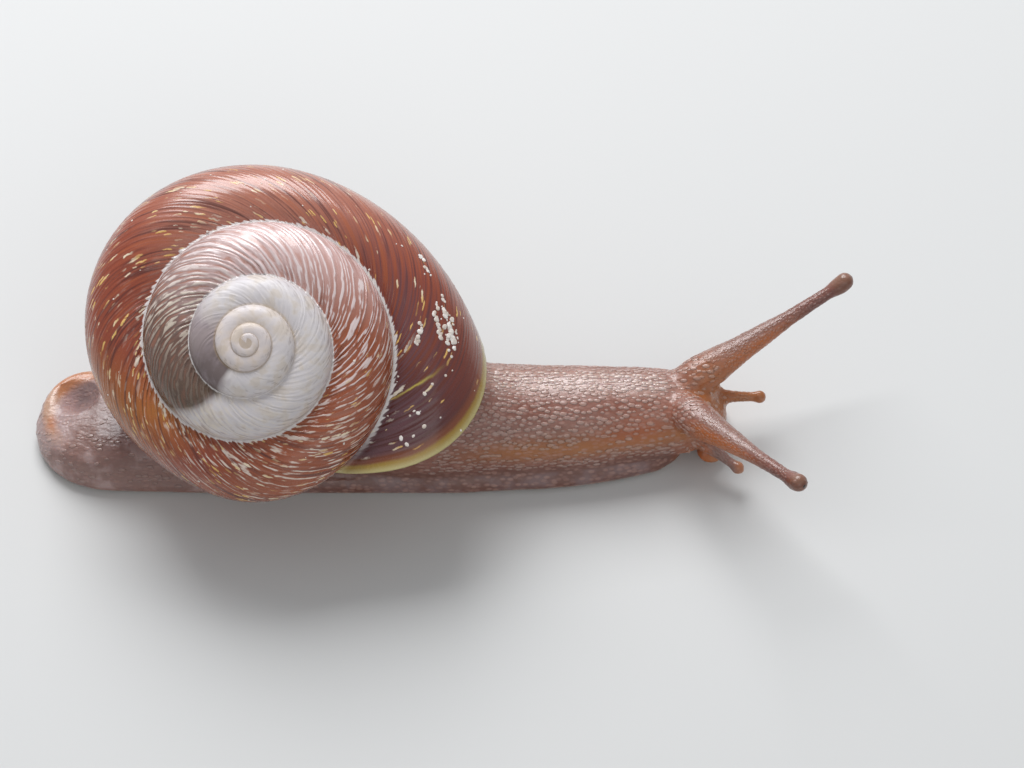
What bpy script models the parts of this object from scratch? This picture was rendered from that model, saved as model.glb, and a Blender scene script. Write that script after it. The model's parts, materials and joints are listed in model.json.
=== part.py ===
"""Life-size model of a crawling land snail with a low, right-coiled shell.

The head points along +X and the snail's right side is -Y. The sole lies on z = 0 and the origin is
the middle of the sole. Sizes below are millimetres; the meshes are written in metres.
"""

import math

import bmesh
import bpy
import numpy as np

MM = 0.001
GAP = 0.3  # clearance between neighbouring pieces

# ---- Shell ---------------------------------------------------------------------------------
# A whorl position t counts turns, 0 at the lip and negative towards the apex. A place u on a
# whorl is an angle: SUTURE at the upper seam, 90 at the widest edge, 180 under the base.
TURN_STEPS = 45
SEAM_AT_LIP = 10.7  # radius of the upper seam where it meets the lip
GROWTH_TURNS = 10.5  # the coil opens as a power of the turns since it began, this far back
GROWTH_POWER = 5.1
SEAM_BULGE = 0.07  # the last turn of the seam swells by this share on the side away from the lip
FIRST_TURN = -5.4
SPIRE_HEIGHT = 5.8
SPIRE_POWER = 1.25
OVAL = 0.065  # how far the last whorl departs from round
OVAL_BEARING = math.radians(35)
OVAL_FADE = 0.2  # turns over which that sets in, so that the spire stays round
SUTURE = -22.0
BASE_END = 215.0
BASE_ROUND = 0.56  # radius of the lowest ring, as a share of the widest radius
BASE_DEPTH = 0.47
UMBILICUS_DEPTH = 3.5
LEAN_STEPS = 7  # growth lines trail by this many steps of a turn at the widest edge
LIP_FLARE = 0.5
FLARE_TURNS = 0.03  # the flare dies away over this much of a turn behind the lip
LIP_THICKNESS = 0.5
APEX_BUMP = 0.02
# the fleshy plug in the mouth: share of the mouth's width, and depth into the whorl
COLLAR_STEPS = ((0.1, 1.3), (0.7, 1.15), (0.88, 0.7), (1.0, 0.05), (0.9, -0.6), (0.68, -1.1), (0.1, -1.4))
COLLAR_ANGLES = np.linspace(-math.pi, math.pi, 28, endpoint=False)
COLLAR_SMOOTHINGS = 4
WHORL_BACK = 0.04  # turns behind the lip at which the whorl's own direction is taken
APEX = np.array([-9.1, -3.6, 18.2])
AXIS_RISE = math.radians(60)
AXIS_YAW = math.radians(-9.5)
LIP_BEARING = math.radians(-57.5)
TOP_ROWS = 5
BASE_ROWS = 9

# ---- Body ----------------------------------------------------------------------------------
SOLE_TOP = 1.65
FOOT_EDGE = 0.5  # how far the edge of the foot slopes in
FOOT_WIDEST = 0.45  # height of its widest line
FOOT_SHOULDER = 0.6
BACK_BOTTOM = SOLE_TOP + GAP
TAIL_X = -25.9
NOSE_X = 26.2
FOOT_FRONT_X = 23.5
FOOT_CUTS = (-9.0, 9.0)
BACK_CUTS = (-17.2, -7.0, 8.6, 17.4)
# x, half-width of the foot, half-width of the back, height of the back, sideways shift
STATIONS = np.array([
    (-26.0, 5.4, 4.8, 2.6, 0.6),
    (-21.0, 5.3, 4.8, 3.6, 0.5),
    (-16.0, 5.1, 4.5, 4.2, 0.2),
    (-11.0, 5.0, 4.2, 4.5, 0.0),
    (-7.0, 5.0, 4.1, 4.5, 0.0),
    (-3.5, 5.0, 4.0, 5.6, 0.0),
    (0.0, 5.0, 4.2, 9.0, 0.0),
    (3.0, 5.0, 4.4, 9.6, 0.0),
    (6.0, 5.0, 4.3, 8.4, 0.0),
    (9.0, 4.9, 4.2, 7.4, 0.05),
    (16.0, 4.5, 3.9, 6.9, 0.3),
    (20.0, 3.9, 3.5, 6.6, 0.6),
    (23.0, 3.2, 3.1, 6.1, 0.75),
    (26.0, 2.4, 2.6, 5.0, 0.85),
])
TAIL_ROUNDING = 6.2
NOSE_ROUNDING = 3.4
END_POWER = 2.2
LEAST_WIDTH = 0.02  # share of the width left at the very ends
BACK_SIDES = 15
BACK_FULLNESS = (0.85, 0.8)  # below 1 squares the dome, across and upwards
BACK_END_HEIGHT = 0.25  # share of the height left at the ends
BACK_INSET = 0.5  # the back starts this far inside the end of the foot
FOOT_SPACING = 2.6
BACK_SPACING = 1.6
END_CROWDING = 1.8
# the curled rim along the left side and end of the tail, and the hollow inside it
RIM_CENTRE = np.array([-21.2, 0.7, 2.25])
RIM_REACH = np.array([3.6, 3.7, 0.0])
RIM_BEARINGS = (68, 205)
RIM_RADIUS = 0.95
RIM_DROP = 0.5  # from its start to its end
RIM_RINGS = 13
RIM_BLUNTNESS = 0.04
FURROW_GROW = 1.1 * GAP
SCOOP_PLACE = np.array([-22.9, 2.3, 3.45])
SCOOP_RADII = np.array([1.9, 1.7, 1.15])

# ---- Feelers -------------------------------------------------------------------------------
# root and tip of the left and right feelers
UPPER_FEELERS = {
    "left": (np.array([22.4, 1.6, 4.8]), np.array([34.9, 7.9, 9.8])),
    "right": (np.array([22.3, 0.1, 4.8]), np.array([30.9, -10.1, 9.6])),
}
LOWER_FEELERS = {
    "left": (np.array([23.9, 2.0, 3.4]), np.array([28.9, 2.4, 2.7])),
    "right": (np.array([23.6, -1.2, 3.0]), np.array([27.1, -3.7, 1.9])),
}
UPPER_SHARES = (0.0, 0.12, 0.22, 0.36, 0.5, 0.65, 0.8, 0.9, 0.945, 0.975, 1.0)
UPPER_WIDTHS = (1.6, 1.55, 1.4, 1.12, 0.88, 0.69, 0.56, 0.53, 0.68, 0.74, 0.68)
UPPER_CUTS = (0.36, 0.66)
LOWER_SHARES = (0.0, 0.3, 0.55, 0.8, 0.92, 1.0)
LOWER_WIDTHS = (0.85, 0.68, 0.48, 0.4, 0.46, 0.4)
FEELER_SIDES = 12
KNOB_LENGTH = 0.75  # of the rounded end, as a share of its radius
KNOB_TURNS = (35, 65, 85)
EYE_RADIUS = 0.34
EYE_GAP = 0.1
EYE_SUNK = 0.12
EYE_RAISED = 0.1
LOBE_PLACES = (-1.15, 2.65)
LOBE_RADII = np.array([1.15, 1.25, 0.68])
LOBE_HEIGHT = 0.95

SHARP_ANGLE = math.radians(40)
WELD = 1e-6  # metres
ROUGHNESS = 0.4

COLOURS = {
    "shell": (0.33, 0.11, 0.06),
    "skin": (0.36, 0.22, 0.19),
    "foot": (0.35, 0.30, 0.33),
    "feeler": (0.25, 0.11, 0.09),
    "eye": (0.02, 0.015, 0.015),
    "collar": (0.45, 0.30, 0.22),
}


def clear_scene():
    for item in list(bpy.data.objects):
        bpy.data.objects.remove(item, do_unlink=True)


def material(kind):
    found = bpy.data.materials.get(kind)
    if found:
        return found
    made = bpy.data.materials.new(kind)
    made.use_nodes = True
    shader = made.node_tree.nodes["Principled BSDF"]
    shader.inputs["Base Color"].default_value = (*COLOURS[kind], 1.0)
    shader.inputs["Roughness"].default_value = ROUGHNESS
    shader.inputs["Metallic"].default_value = 0.0
    return made


def add_object(name, points, faces, kind):
    """A named object from points in millimetres."""
    mesh = bpy.data.meshes.new(name)
    mesh.from_pydata([tuple(float(c) * MM for c in point) for point in points], [], faces)
    work = bmesh.new()
    work.from_mesh(mesh)
    bmesh.ops.remove_doubles(work, verts=work.verts, dist=WELD)
    bmesh.ops.recalc_face_normals(work, faces=work.faces)
    if work.calc_volume(signed=True) < 0:
        bmesh.ops.reverse_faces(work, faces=work.faces)
    work.to_mesh(mesh)
    work.free()
    mesh.shade_smooth()
    mesh.set_sharp_from_angle(angle=SHARP_ANGLE)
    mesh.materials.append(material(kind))
    made = bpy.data.objects.new(name, mesh)
    bpy.context.scene.collection.objects.link(made)
    return made


def as_cutter(thing):
    thing.hide_render = True
    thing.display_type = "WIRE"
    return thing


def cut(thing, cutter):
    """Takes the cutter out of the thing and leaves the cutter as a hidden helper."""
    boolean = thing.modifiers.new("cut_" + cutter.name, "BOOLEAN")
    boolean.operation = "DIFFERENCE"
    boolean.solver = "EXACT"
    boolean.object = as_cutter(cutter)


def smooth_curve(places, values):
    """A natural cubic spline through the values, as a function of the place."""
    count = len(places)
    steps = np.diff(places)
    slopes = np.diff(values) / steps
    system = np.eye(count)
    right = np.zeros(count)
    for i in range(1, count - 1):
        system[i, i - 1:i + 2] = steps[i - 1], 2 * (steps[i - 1] + steps[i]), steps[i]
        right[i] = 6 * (slopes[i] - slopes[i - 1])
    bends = np.linalg.solve(system, right)

    def value(place):
        place = np.asarray(place, float)
        i = np.clip(np.searchsorted(places, place) - 1, 0, count - 2)
        before = (places[i + 1] - place) / steps[i]
        after = 1 - before
        curve = (before**3 - before) * bends[i] + (after**3 - after) * bends[i + 1]
        return before * values[i] + after * values[i + 1] + curve * steps[i] ** 2 / 6

    return value


# ---- Shell surface -------------------------------------------------------------------------
def seam(t):
    """Radius and height of the upper seam of the whorl, from the apex."""
    radius = SEAM_AT_LIP * (1 + t / GROWTH_TURNS) ** GROWTH_POWER
    if -1 < t < 0:
        radius *= 1 + SEAM_BULGE * math.sin(math.pi * t) ** 2
    return radius, -SPIRE_HEIGHT * (radius / SEAM_AT_LIP) ** SPIRE_POWER


def whorl_point(turn, u):
    """Radius and height of place u on the whorl at the given turn of azimuth."""
    inner, inner_height = seam(turn)
    outer, outer_height = seam(turn + 1)
    fade = np.clip((turn + 1) / OVAL_FADE, 0, 1)
    fade = fade * fade * (3 - 2 * fade)
    outer *= 1 + fade * OVAL * math.cos(4 * math.pi * turn + OVAL_BEARING)
    angle = math.radians(u)
    if u <= 90:
        reach = (outer - inner) / (1 - math.sin(math.radians(SUTURE)))
        rise = (inner_height - outer_height) / math.cos(math.radians(SUTURE))
        return outer - reach + reach * math.sin(angle), outer_height + rise * math.cos(angle)
    ring = BASE_ROUND * outer
    radius = ring + (outer - ring) * math.sin(angle)
    return radius, outer_height + BASE_DEPTH * outer * math.cos(angle)


def shell_frame():
    """Two directions across the coiling axis, and the axis itself."""
    flat = math.cos(AXIS_RISE)
    axis = np.array([math.sin(AXIS_YAW) * flat, -math.cos(AXIS_YAW) * flat, math.sin(AXIS_RISE)])
    first = np.array([1.0, 0.0, 0.0]) - axis * axis[0]
    first /= np.linalg.norm(first)
    return first, np.cross(axis, first), axis


FIRST_AXIS, SECOND_AXIS, COIL_AXIS = shell_frame()


def in_space(turn, radius, height):
    """A point at this radius from the coiling axis and this height along it."""
    angle = LIP_BEARING - 2 * math.pi * turn
    flat = radius * (math.cos(angle) * FIRST_AXIS + math.sin(angle) * SECOND_AXIS)
    return APEX + flat + height * COIL_AXIS


def lean(u):
    """Turns by which a growth line trails its upper end at place u."""
    share = (u - SUTURE) / (90 - SUTURE)
    return -LEAN_STEPS / TURN_STEPS * share


def shell_point(t, u):
    """Place u on the growth line t."""
    radius, height = whorl_point(t + lean(u), u)
    flare = LIP_FLARE * math.exp(t / FLARE_TURNS) * math.sin(math.radians(min(max(u, 0), 180)))
    return in_space(t + lean(u), radius + flare, height)


def base_point(share, u):
    """A point under the last whorl; the share runs from the inner edge of the mouth to the lip."""
    start = -1 + lean(u) - lean(90)
    radius, height = whorl_point(start + share * (lean(u) - start), u)
    flare = LIP_FLARE * math.exp((share - 1) / FLARE_TURNS) * math.sin(math.radians(min(u, 180)))
    return in_space(start + share * (lean(u) - start), radius + flare, height)


def axis_point():
    """The bottom of the navel, on the coiling axis."""
    radius, height = whorl_point(lean(BASE_END) - 0.5, BASE_END)
    return APEX + (height + UMBILICUS_DEPTH) * COIL_AXIS


def area_centre(ring):
    """The centre of the area inside a nearly flat ring."""
    middle = ring.mean(axis=0)
    after = np.roll(ring, -1, axis=0)
    vectors = np.cross(ring - middle, after - middle)
    weights = vectors @ vectors.sum(axis=0)
    return ((ring + after + middle) / 3 * weights[:, None]).sum(axis=0) / weights.sum()


def mouth_outline(back=0.0):
    """The growth line this far behind the lip, then the wall it meets, from the navel to the seam."""
    base_places = np.linspace(90, BASE_END, BASE_ROWS + 1)
    lip = [shell_point(-back, u) for u in np.linspace(SUTURE, 90, TOP_ROWS + 1)]
    lip += [shell_point(-back, u) for u in base_places[1:]]
    wall = [base_point(0.0, u) for u in base_places[:0:-1]]
    return np.array(lip + wall)


def mouth_radii(centre, first, second, inset):
    """The reach of the mouth in even directions around its centre, smoothed inwards."""
    away = mouth_outline() - centre
    angles = np.arctan2(away @ second, away @ first)
    order = np.argsort(angles)
    reach = np.linalg.norm(away, axis=1)[order] - inset
    radii = np.interp(COLLAR_ANGLES, angles[order], reach, period=2 * math.pi)
    for _ in range(COLLAR_SMOOTHINGS):
        around = 0.5 * radii + 0.25 * (np.roll(radii, 1) + np.roll(radii, -1))
        radii = np.minimum(radii, around)
    return radii


def collar_rings(grow):
    """Rings of the fleshy plug that fills the mouth, from inside the whorl to the outside."""
    centre = area_centre(mouth_outline())
    normal = np.cross(mouth_outline()[4] - centre, mouth_outline()[10] - centre)
    normal *= -math.copysign(1, normal[2]) / np.linalg.norm(normal)
    first = np.cross([0.0, 1.0, 0.0], normal)
    first /= np.linalg.norm(first)
    second = np.cross(normal, first)
    radii = mouth_radii(centre, first, second, LIP_THICKNESS + GAP - grow)
    circle = np.cos(COLLAR_ANGLES)[:, None] * first + np.sin(COLLAR_ANGLES)[:, None] * second
    rings = []
    inwards = area_centre(mouth_outline(WHORL_BACK)) - centre
    inwards /= np.linalg.norm(inwards)
    for scale, depth in COLLAR_STEPS:
        direction = inwards if depth > 0 else -normal
        shift = (depth + math.copysign(grow, depth)) * direction
        rings.append(centre + circle * ((radii - grow) * scale + grow)[:, None] + shift)
    return rings


def build_shell():
    """One closed solid: coiled top, rounded base, navel, and a wall across the mouth."""
    top_places = np.linspace(SUTURE, 90, TOP_ROWS + 1)
    base_places = np.linspace(90, BASE_END, BASE_ROWS + 1)
    lines = round(-FIRST_TURN * TURN_STEPS)
    hidden = TURN_STEPS - LEAN_STEPS  # growth lines from an edge to the seam that covers it
    points, faces = [], []

    def add(point):
        points.append(point)
        return len(points) - 1

    grid = []
    for line in range(lines + 1):
        t = (line - lines) / TURN_STEPS
        row = [add(shell_point(t, u)) for u in top_places]
        if line >= hidden:
            row[0] = grid[line - hidden][-1]
        grid.append(row)
    for before, after in zip(grid, grid[1:]):
        for k in range(TOP_ROWS):
            faces.append((before[k], after[k], after[k + 1], before[k + 1]))

    apex = add(APEX + APEX_BUMP * COIL_AXIS)
    start = [grid[line][0] for line in range(hidden + 1)] + grid[0][:0:-1][1:]
    for here, there in zip(start, start[1:] + start[:1]):
        faces.append((here, apex, there))

    base = [[grid[lines - hidden + j][-1] for j in range(hidden + 1)]]
    for u in base_places[1:]:
        base.append([add(base_point(j / hidden, u)) for j in range(hidden + 1)])
    for upper, lower in zip(base, base[1:]):
        for j in range(hidden):
            faces.append((upper[j], upper[j + 1], lower[j + 1], lower[j]))
    navel = add(axis_point())
    for j in range(hidden):
        faces.append((base[-1][j], base[-1][j + 1], navel))

    lip = grid[lines] + [row[-1] for row in base[1:]]
    wall = [row[0] for row in base[:0:-1]]
    faces.append((lip[-1], navel, wall[0]))
    edge = lip + wall
    middle = add(area_centre(np.array([points[k] for k in edge])))
    for here, there in zip(edge, edge[1:] + edge[:1]):
        faces.append((here, there, middle))
    return add_object("shell", points, faces, "shell")


# ---- Flesh ---------------------------------------------------------------------------------
foot_half, back_half, back_height, side_shift = (
    smooth_curve(STATIONS[:, 0], STATIONS[:, k]) for k in range(1, 5)
)


def end_rounding(x, tail_end, tail_length, front_end, front_length):
    """1 along the body, falling to 0 at its two rounded ends."""
    tail = np.clip((tail_end + tail_length - x) / tail_length, 0, 1)
    front = np.clip((x - front_end + front_length) / front_length, 0, 1)
    return math.sqrt(max(1 - max(tail, front) ** END_POWER, LEAST_WIDTH**2))


def foot_section(x, grow=0.0):
    """The foot across its length: a flat sole and top with soft edges."""
    half = foot_half(x) * end_rounding(x, TAIL_X, TAIL_ROUNDING, FOOT_FRONT_X, NOSE_ROUNDING) + grow
    soft = min(FOOT_EDGE, half * 0.4)
    top = SOLE_TOP + grow
    shoulder = (half - 0.1 * soft, top - FOOT_SHOULDER)
    side = [(half - soft, -grow), (half, FOOT_WIDEST), shoulder, (half - soft, top)]
    outline = side + [(-y, z) for y, z in reversed(side)]
    return np.array([(x, side_shift(x) + y, z) for y, z in outline])


def back_section(x, grow=0.0):
    """A flat-bottomed dome over the furrow that runs round the foot."""
    rounding = end_rounding(x, TAIL_X + BACK_INSET, TAIL_ROUNDING, NOSE_X, NOSE_ROUNDING)
    half = back_half(x) * rounding + grow
    bottom = BACK_BOTTOM - grow
    share = BACK_END_HEIGHT + (1 - BACK_END_HEIGHT) * rounding
    height = (back_height(x) - bottom) * share + grow
    across, upwards = BACK_FULLNESS
    outline = []
    for angle in np.linspace(0, math.pi, BACK_SIDES):
        y = half * math.copysign(abs(math.cos(angle)) ** across, math.cos(angle))
        outline.append((x, side_shift(x) + y, bottom + height * math.sin(angle) ** upwards))
    return np.array(outline)


def loft(name, rings, kind):
    """Rings joined one to the next, with a flat cap on each end."""
    sides = len(rings[0])
    points = [point for ring in rings for point in ring]
    faces = [tuple(range(sides)), tuple(range(len(points) - 1, len(points) - 1 - sides, -1))]
    for start in range(0, len(points) - sides, sides):
        for k in range(sides):
            after = (k + 1) % sides
            faces.append((start + k, start + after, start + sides + after, start + sides + k))
    return add_object(name, points, faces, kind)


def lengths(start, end, cuts):
    """The stretches left between the cuts, each cut being one clearance wide."""
    edges = [start, *cuts, end]
    for k, (here, there) in enumerate(zip(edges, edges[1:])):
        yield here + (GAP / 2 if k else 0), there - (GAP / 2 if k < len(cuts) else 0)


def stations_between(start, end, spacing):
    """Places along the body, closer together near its rounded ends."""
    count = max(2, round((end - start) / spacing))
    places = np.linspace(start, end, count + 1)
    if start <= TAIL_X + BACK_INSET:
        places = start + (end - start) * np.linspace(0, 1, count + 3) ** END_CROWDING
    if end >= FOOT_FRONT_X:
        places = end - (end - start) * np.linspace(1, 0, count + 3) ** END_CROWDING
    return places


def build_foot():
    names = ("foot_rear", "foot_middle", "foot_front")
    for name, (start, end) in zip(names, lengths(TAIL_X, FOOT_FRONT_X, FOOT_CUTS)):
        loft(name, [foot_section(x) for x in stations_between(start, end, FOOT_SPACING)], "foot")


def build_back():
    names = ("tail_tip", "tail", "trunk", "neck", "head")
    built = {}
    for name, (start, end) in zip(names, lengths(TAIL_X + BACK_INSET, NOSE_X, BACK_CUTS)):
        rings = [back_section(x) for x in stations_between(start, end, BACK_SPACING)]
        built[name] = loft(name, rings, "skin")
    return built


def ball(name, place, radii, kind, segments=20, rings=12):
    work = bmesh.new()
    bmesh.ops.create_uvsphere(work, u_segments=segments, v_segments=rings, radius=1.0)
    points = [place + radii * np.array(vert.co) for vert in work.verts]
    faces = [tuple(vert.index for vert in face.verts) for face in work.faces]
    work.free()
    return add_object(name, points, faces, kind)


def build_tail_rim(tail_tip):
    """Joins the curled rim to the end of the tail and hollows it."""
    rings = []
    for share in np.linspace(0, 1, RIM_RINGS):
        angle = math.radians(RIM_BEARINGS[0] + share * (RIM_BEARINGS[1] - RIM_BEARINGS[0]))
        away = np.array([math.cos(angle), math.sin(angle), 0.0])
        centre = RIM_CENTRE + RIM_REACH * away - np.array([0, 0, RIM_DROP * share])
        along = RIM_BLUNTNESS + (1 - 2 * RIM_BLUNTNESS) * share
        radius = RIM_RADIUS * math.sqrt(math.sin(math.pi * along))
        rings.append(feeler_ring(centre, np.array([-away[1], away[0], 0.0]), radius))
    join = tail_tip.modifiers.new("join_rim", "BOOLEAN")
    join.operation = "UNION"
    join.object = as_cutter(loft("tail_rim", rings, "skin"))
    places = stations_between(TAIL_X, BACK_CUTS[0] + 1, FOOT_SPACING / 2)
    cut(tail_tip, loft("foot_clearance", [foot_section(x, FURROW_GROW) for x in places], "foot"))
    cut(tail_tip, ball("scoop_cutter", SCOOP_PLACE, SCOOP_RADII, "skin"))


def feeler_ring(centre, along, radius):
    """A ring of points square to its direction."""
    side = np.cross(along, [0.0, 0.0, 1.0])
    side /= np.linalg.norm(side)
    up = np.cross(side, along)
    angles = np.arange(FEELER_SIDES) * 2 * math.pi / FEELER_SIDES
    return np.array([centre + radius * (math.cos(a) * side + math.sin(a) * up) for a in angles])


def feeler_length(name, root, tip, shares, widths, start, end):
    """One length of a feeler, from share start to share end of its run."""
    along = (tip - root) / np.linalg.norm(tip - root)
    width = smooth_curve(np.array(shares), np.array(widths))
    inside = [share for share in shares if start + 0.02 < share < end - 0.02]
    rings = []
    for share in [start, *inside, end]:
        centre = root + (tip - root) * share
        rings.append(feeler_ring(centre, along, float(width(share))))
    if end == 1.0:
        last = float(width(1.0))
        for turn in KNOB_TURNS:
            angle = math.radians(turn)
            centre = tip + along * last * KNOB_LENGTH * math.sin(angle)
            rings.append(feeler_ring(centre, along, last * math.cos(angle)))
    return loft(name, rings, "feeler")


def build_feelers(head):
    for side, (root, tip) in UPPER_FEELERS.items():
        run = (tip - root) / np.linalg.norm(tip - root)
        half_gap = GAP / 2 / np.linalg.norm(tip - root)
        edges = [0.0, *UPPER_CUTS, 1.0]
        parts = ("base", "shaft", "tip")
        for k, part in enumerate(parts):
            start = edges[k] + (half_gap if k else 0)
            end = edges[k + 1] - (half_gap if k < 2 else 0)
            name = f"upper_tentacle_{side}_{part}"
            made = feeler_length(name, root, tip, UPPER_SHARES, UPPER_WIDTHS, start, end)
            if part == "base":
                cut(made, head)
        forward = UPPER_WIDTHS[-1] * KNOB_LENGTH - EYE_SUNK
        eye_place = tip + run * forward + np.array([0, 0, EYE_RAISED])
        ball(f"eye_{side}", eye_place, np.full(3, EYE_RADIUS), "eye", 12, 8)
        pocket = ball(f"eye_pocket_{side}", eye_place, np.full(3, EYE_RADIUS + EYE_GAP), "eye", 12, 8)
        cut(made, pocket)
    for side, (root, tip) in LOWER_FEELERS.items():
        name = f"lower_tentacle_{side}"
        made = feeler_length(name, root, tip, LOWER_SHARES, LOWER_WIDTHS, 0.0, 1.0)
        cut(made, head)


def build_mouth_lobes():
    for side, y in zip(("right", "left"), LOBE_PLACES):
        place = np.array([FOOT_FRONT_X + GAP + LOBE_RADII[0], y, LOBE_HEIGHT])
        ball(f"mouth_lobe_{side}", place, LOBE_RADII, "skin", 16, 10)


def main():
    clear_scene()
    cut(build_shell(), loft("collar_clearance", collar_rings(GAP), "collar"))
    build_foot()
    back = build_back()
    build_tail_rim(back["tail_tip"])
    rings = [back_section(x, GAP) for x in np.linspace(BACK_CUTS[1], BACK_CUTS[2], 13)]
    collar = loft("mantle_collar", collar_rings(0.0), "collar")
    cut(collar, loft("trunk_clearance", rings, "skin"))
    rings = [back_section(x, GAP) for x in np.linspace(BACK_CUTS[3] - 2, NOSE_X, 17)]
    build_feelers(loft("head_clearance", rings, "skin"))
    build_mouth_lobes()


main()
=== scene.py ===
"""Finished look of a life-size crawling land snail: coiled shell, moist granular skin and feelers."""

import json
import math
import random

import bmesh
import bpy
import numpy as np
from mathutils import Matrix, Vector
from mathutils.bvhtree import BVHTree

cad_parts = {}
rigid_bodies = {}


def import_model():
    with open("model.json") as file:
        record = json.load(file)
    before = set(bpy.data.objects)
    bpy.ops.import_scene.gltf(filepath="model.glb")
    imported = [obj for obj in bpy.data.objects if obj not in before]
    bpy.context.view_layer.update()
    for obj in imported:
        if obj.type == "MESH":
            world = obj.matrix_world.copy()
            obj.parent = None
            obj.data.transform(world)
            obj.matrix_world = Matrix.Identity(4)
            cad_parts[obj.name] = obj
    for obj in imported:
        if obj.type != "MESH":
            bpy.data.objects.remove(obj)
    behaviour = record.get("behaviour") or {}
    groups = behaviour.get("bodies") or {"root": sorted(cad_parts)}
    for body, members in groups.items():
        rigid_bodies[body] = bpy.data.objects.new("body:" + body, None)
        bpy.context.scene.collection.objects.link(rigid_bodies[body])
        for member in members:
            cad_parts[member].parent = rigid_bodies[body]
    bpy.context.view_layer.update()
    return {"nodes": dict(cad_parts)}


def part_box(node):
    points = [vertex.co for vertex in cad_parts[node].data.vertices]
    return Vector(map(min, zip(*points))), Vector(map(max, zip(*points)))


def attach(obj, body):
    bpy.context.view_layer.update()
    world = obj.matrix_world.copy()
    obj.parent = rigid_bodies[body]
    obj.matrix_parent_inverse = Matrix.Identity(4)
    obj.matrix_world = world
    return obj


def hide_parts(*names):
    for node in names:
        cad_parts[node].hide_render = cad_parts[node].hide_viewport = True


bl_info = {
    "name": "Land Snail",
    "version": (1, 0, 0),
    "blender": (4, 5, 0),
    "location": "3D View > Sidebar > Snail",
    "description": "Builds the shell, skin and small details of a life-size land snail",
    "category": "Object",
}

for startup_object in list(bpy.data.objects):
    bpy.data.objects.remove(startup_object, do_unlink=True)
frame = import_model()

MM = 0.001
SEED = 7

# ---- Shell: where the coil stands and how its growth lines lie --------------------------------
LIP_BEARING = math.radians(-57.5)
AXIS_RISE = math.radians(60)
AXIS_YAW = math.radians(-9.5)
APEX = Vector((-9.1, -3.6, 18.2)) * MM
FIRST_TURN = 5.4
LEAN = 7 / 45  # turns by which a growth line trails its upper end at the widest edge
SEAM_PLACE = math.radians(-22)
WIDEST = math.radians(90)
BASE_END = math.radians(215)
FLARE_TURNS = 0.03
OVAL_BEARING = math.radians(35)
OVAL_FADE = 0.2
NAVEL_DEPTH = 3.5 * MM
MOUTH_RISE = 1.0 * MM
APEX_RISE = 0.08 * MM
PROFILE_ROWS = 18  # rows of the mesh across the top of a whorl, and as many across the base

# ---- Body ------------------------------------------------------------------------------------
SWELL = 0.2 * MM  # how far the solids grow, so that they meet before they are fused
# The places that follow are in mm.
FEELER_ROOT = (22.3, 0.8, 4.8)  # between the two long feelers
FEELER_KNOB = 13.8  # from there out to the knobs that end them
RIM_MIDDLE = (-21.2, 0.7)  # of the curled rim round the hollow of the tail
# Balls that fill the folds between the solids: middle and half sizes.
FOLD_FILLS = (
    ((24.7, 2.6, 4.3), (1.2, 1.0, 1.3)),
    ((23.4, 0.6, 4.6), (2.0, 1.5, 1.3)),
    ((25.5, 2.1, 3.1), (1.5, 0.6, 0.5)),
    ((24.9, 0.75, 1.3), (1.1, 1.3, 1.0)),
    ((25.3, 0.75, 2.2), (1.05, 2.3, 0.75)),
)
# Rows of granules on the ridge: start and end along the body, then each row's place across it.
RIDGE_START, RIDGE_END = 8.9, 21.5
RIDGE_ROWS = (0.2, 0.55, 0.9, 1.25, 1.6)

# ---- Feeler tips -----------------------------------------------------------------------------
KNOB_RADIUS = 0.92  # mm, before the skin is drawn back inside the solid
KNOB_BACK = 0.42 * MM  # from the eye back to the middle of its knob
LOWER_KNOB = 0.74  # mm
EYE_RADIUS = 0.31 * MM
EYE_SET_IN = 0.06 * MM

FLESH = (
    "head", "neck", "trunk", "tail", "tail_tip", "foot_front", "foot_middle", "foot_rear",
    "mouth_lobe_left", "mouth_lobe_right", "mantle_collar",
    "upper_tentacle_left_base", "upper_tentacle_left_shaft", "upper_tentacle_left_tip",
    "upper_tentacle_right_base", "upper_tentacle_right_shaft", "upper_tentacle_right_tip",
    "lower_tentacle_left", "lower_tentacle_right",
)


# ---- Settings --------------------------------------------------------------------------------
def length(name, description, default):
    return bpy.props.FloatProperty(
        name=name, description=description, default=default, unit="LENGTH", precision=5
    )


def colour(name, description, default):
    return bpy.props.FloatVectorProperty(
        name=name, description=description, default=default, subtype="COLOR", size=3, min=0, max=1
    )


def number(name, description, default):
    return bpy.props.FloatProperty(name=name, description=description, default=default)


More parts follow.
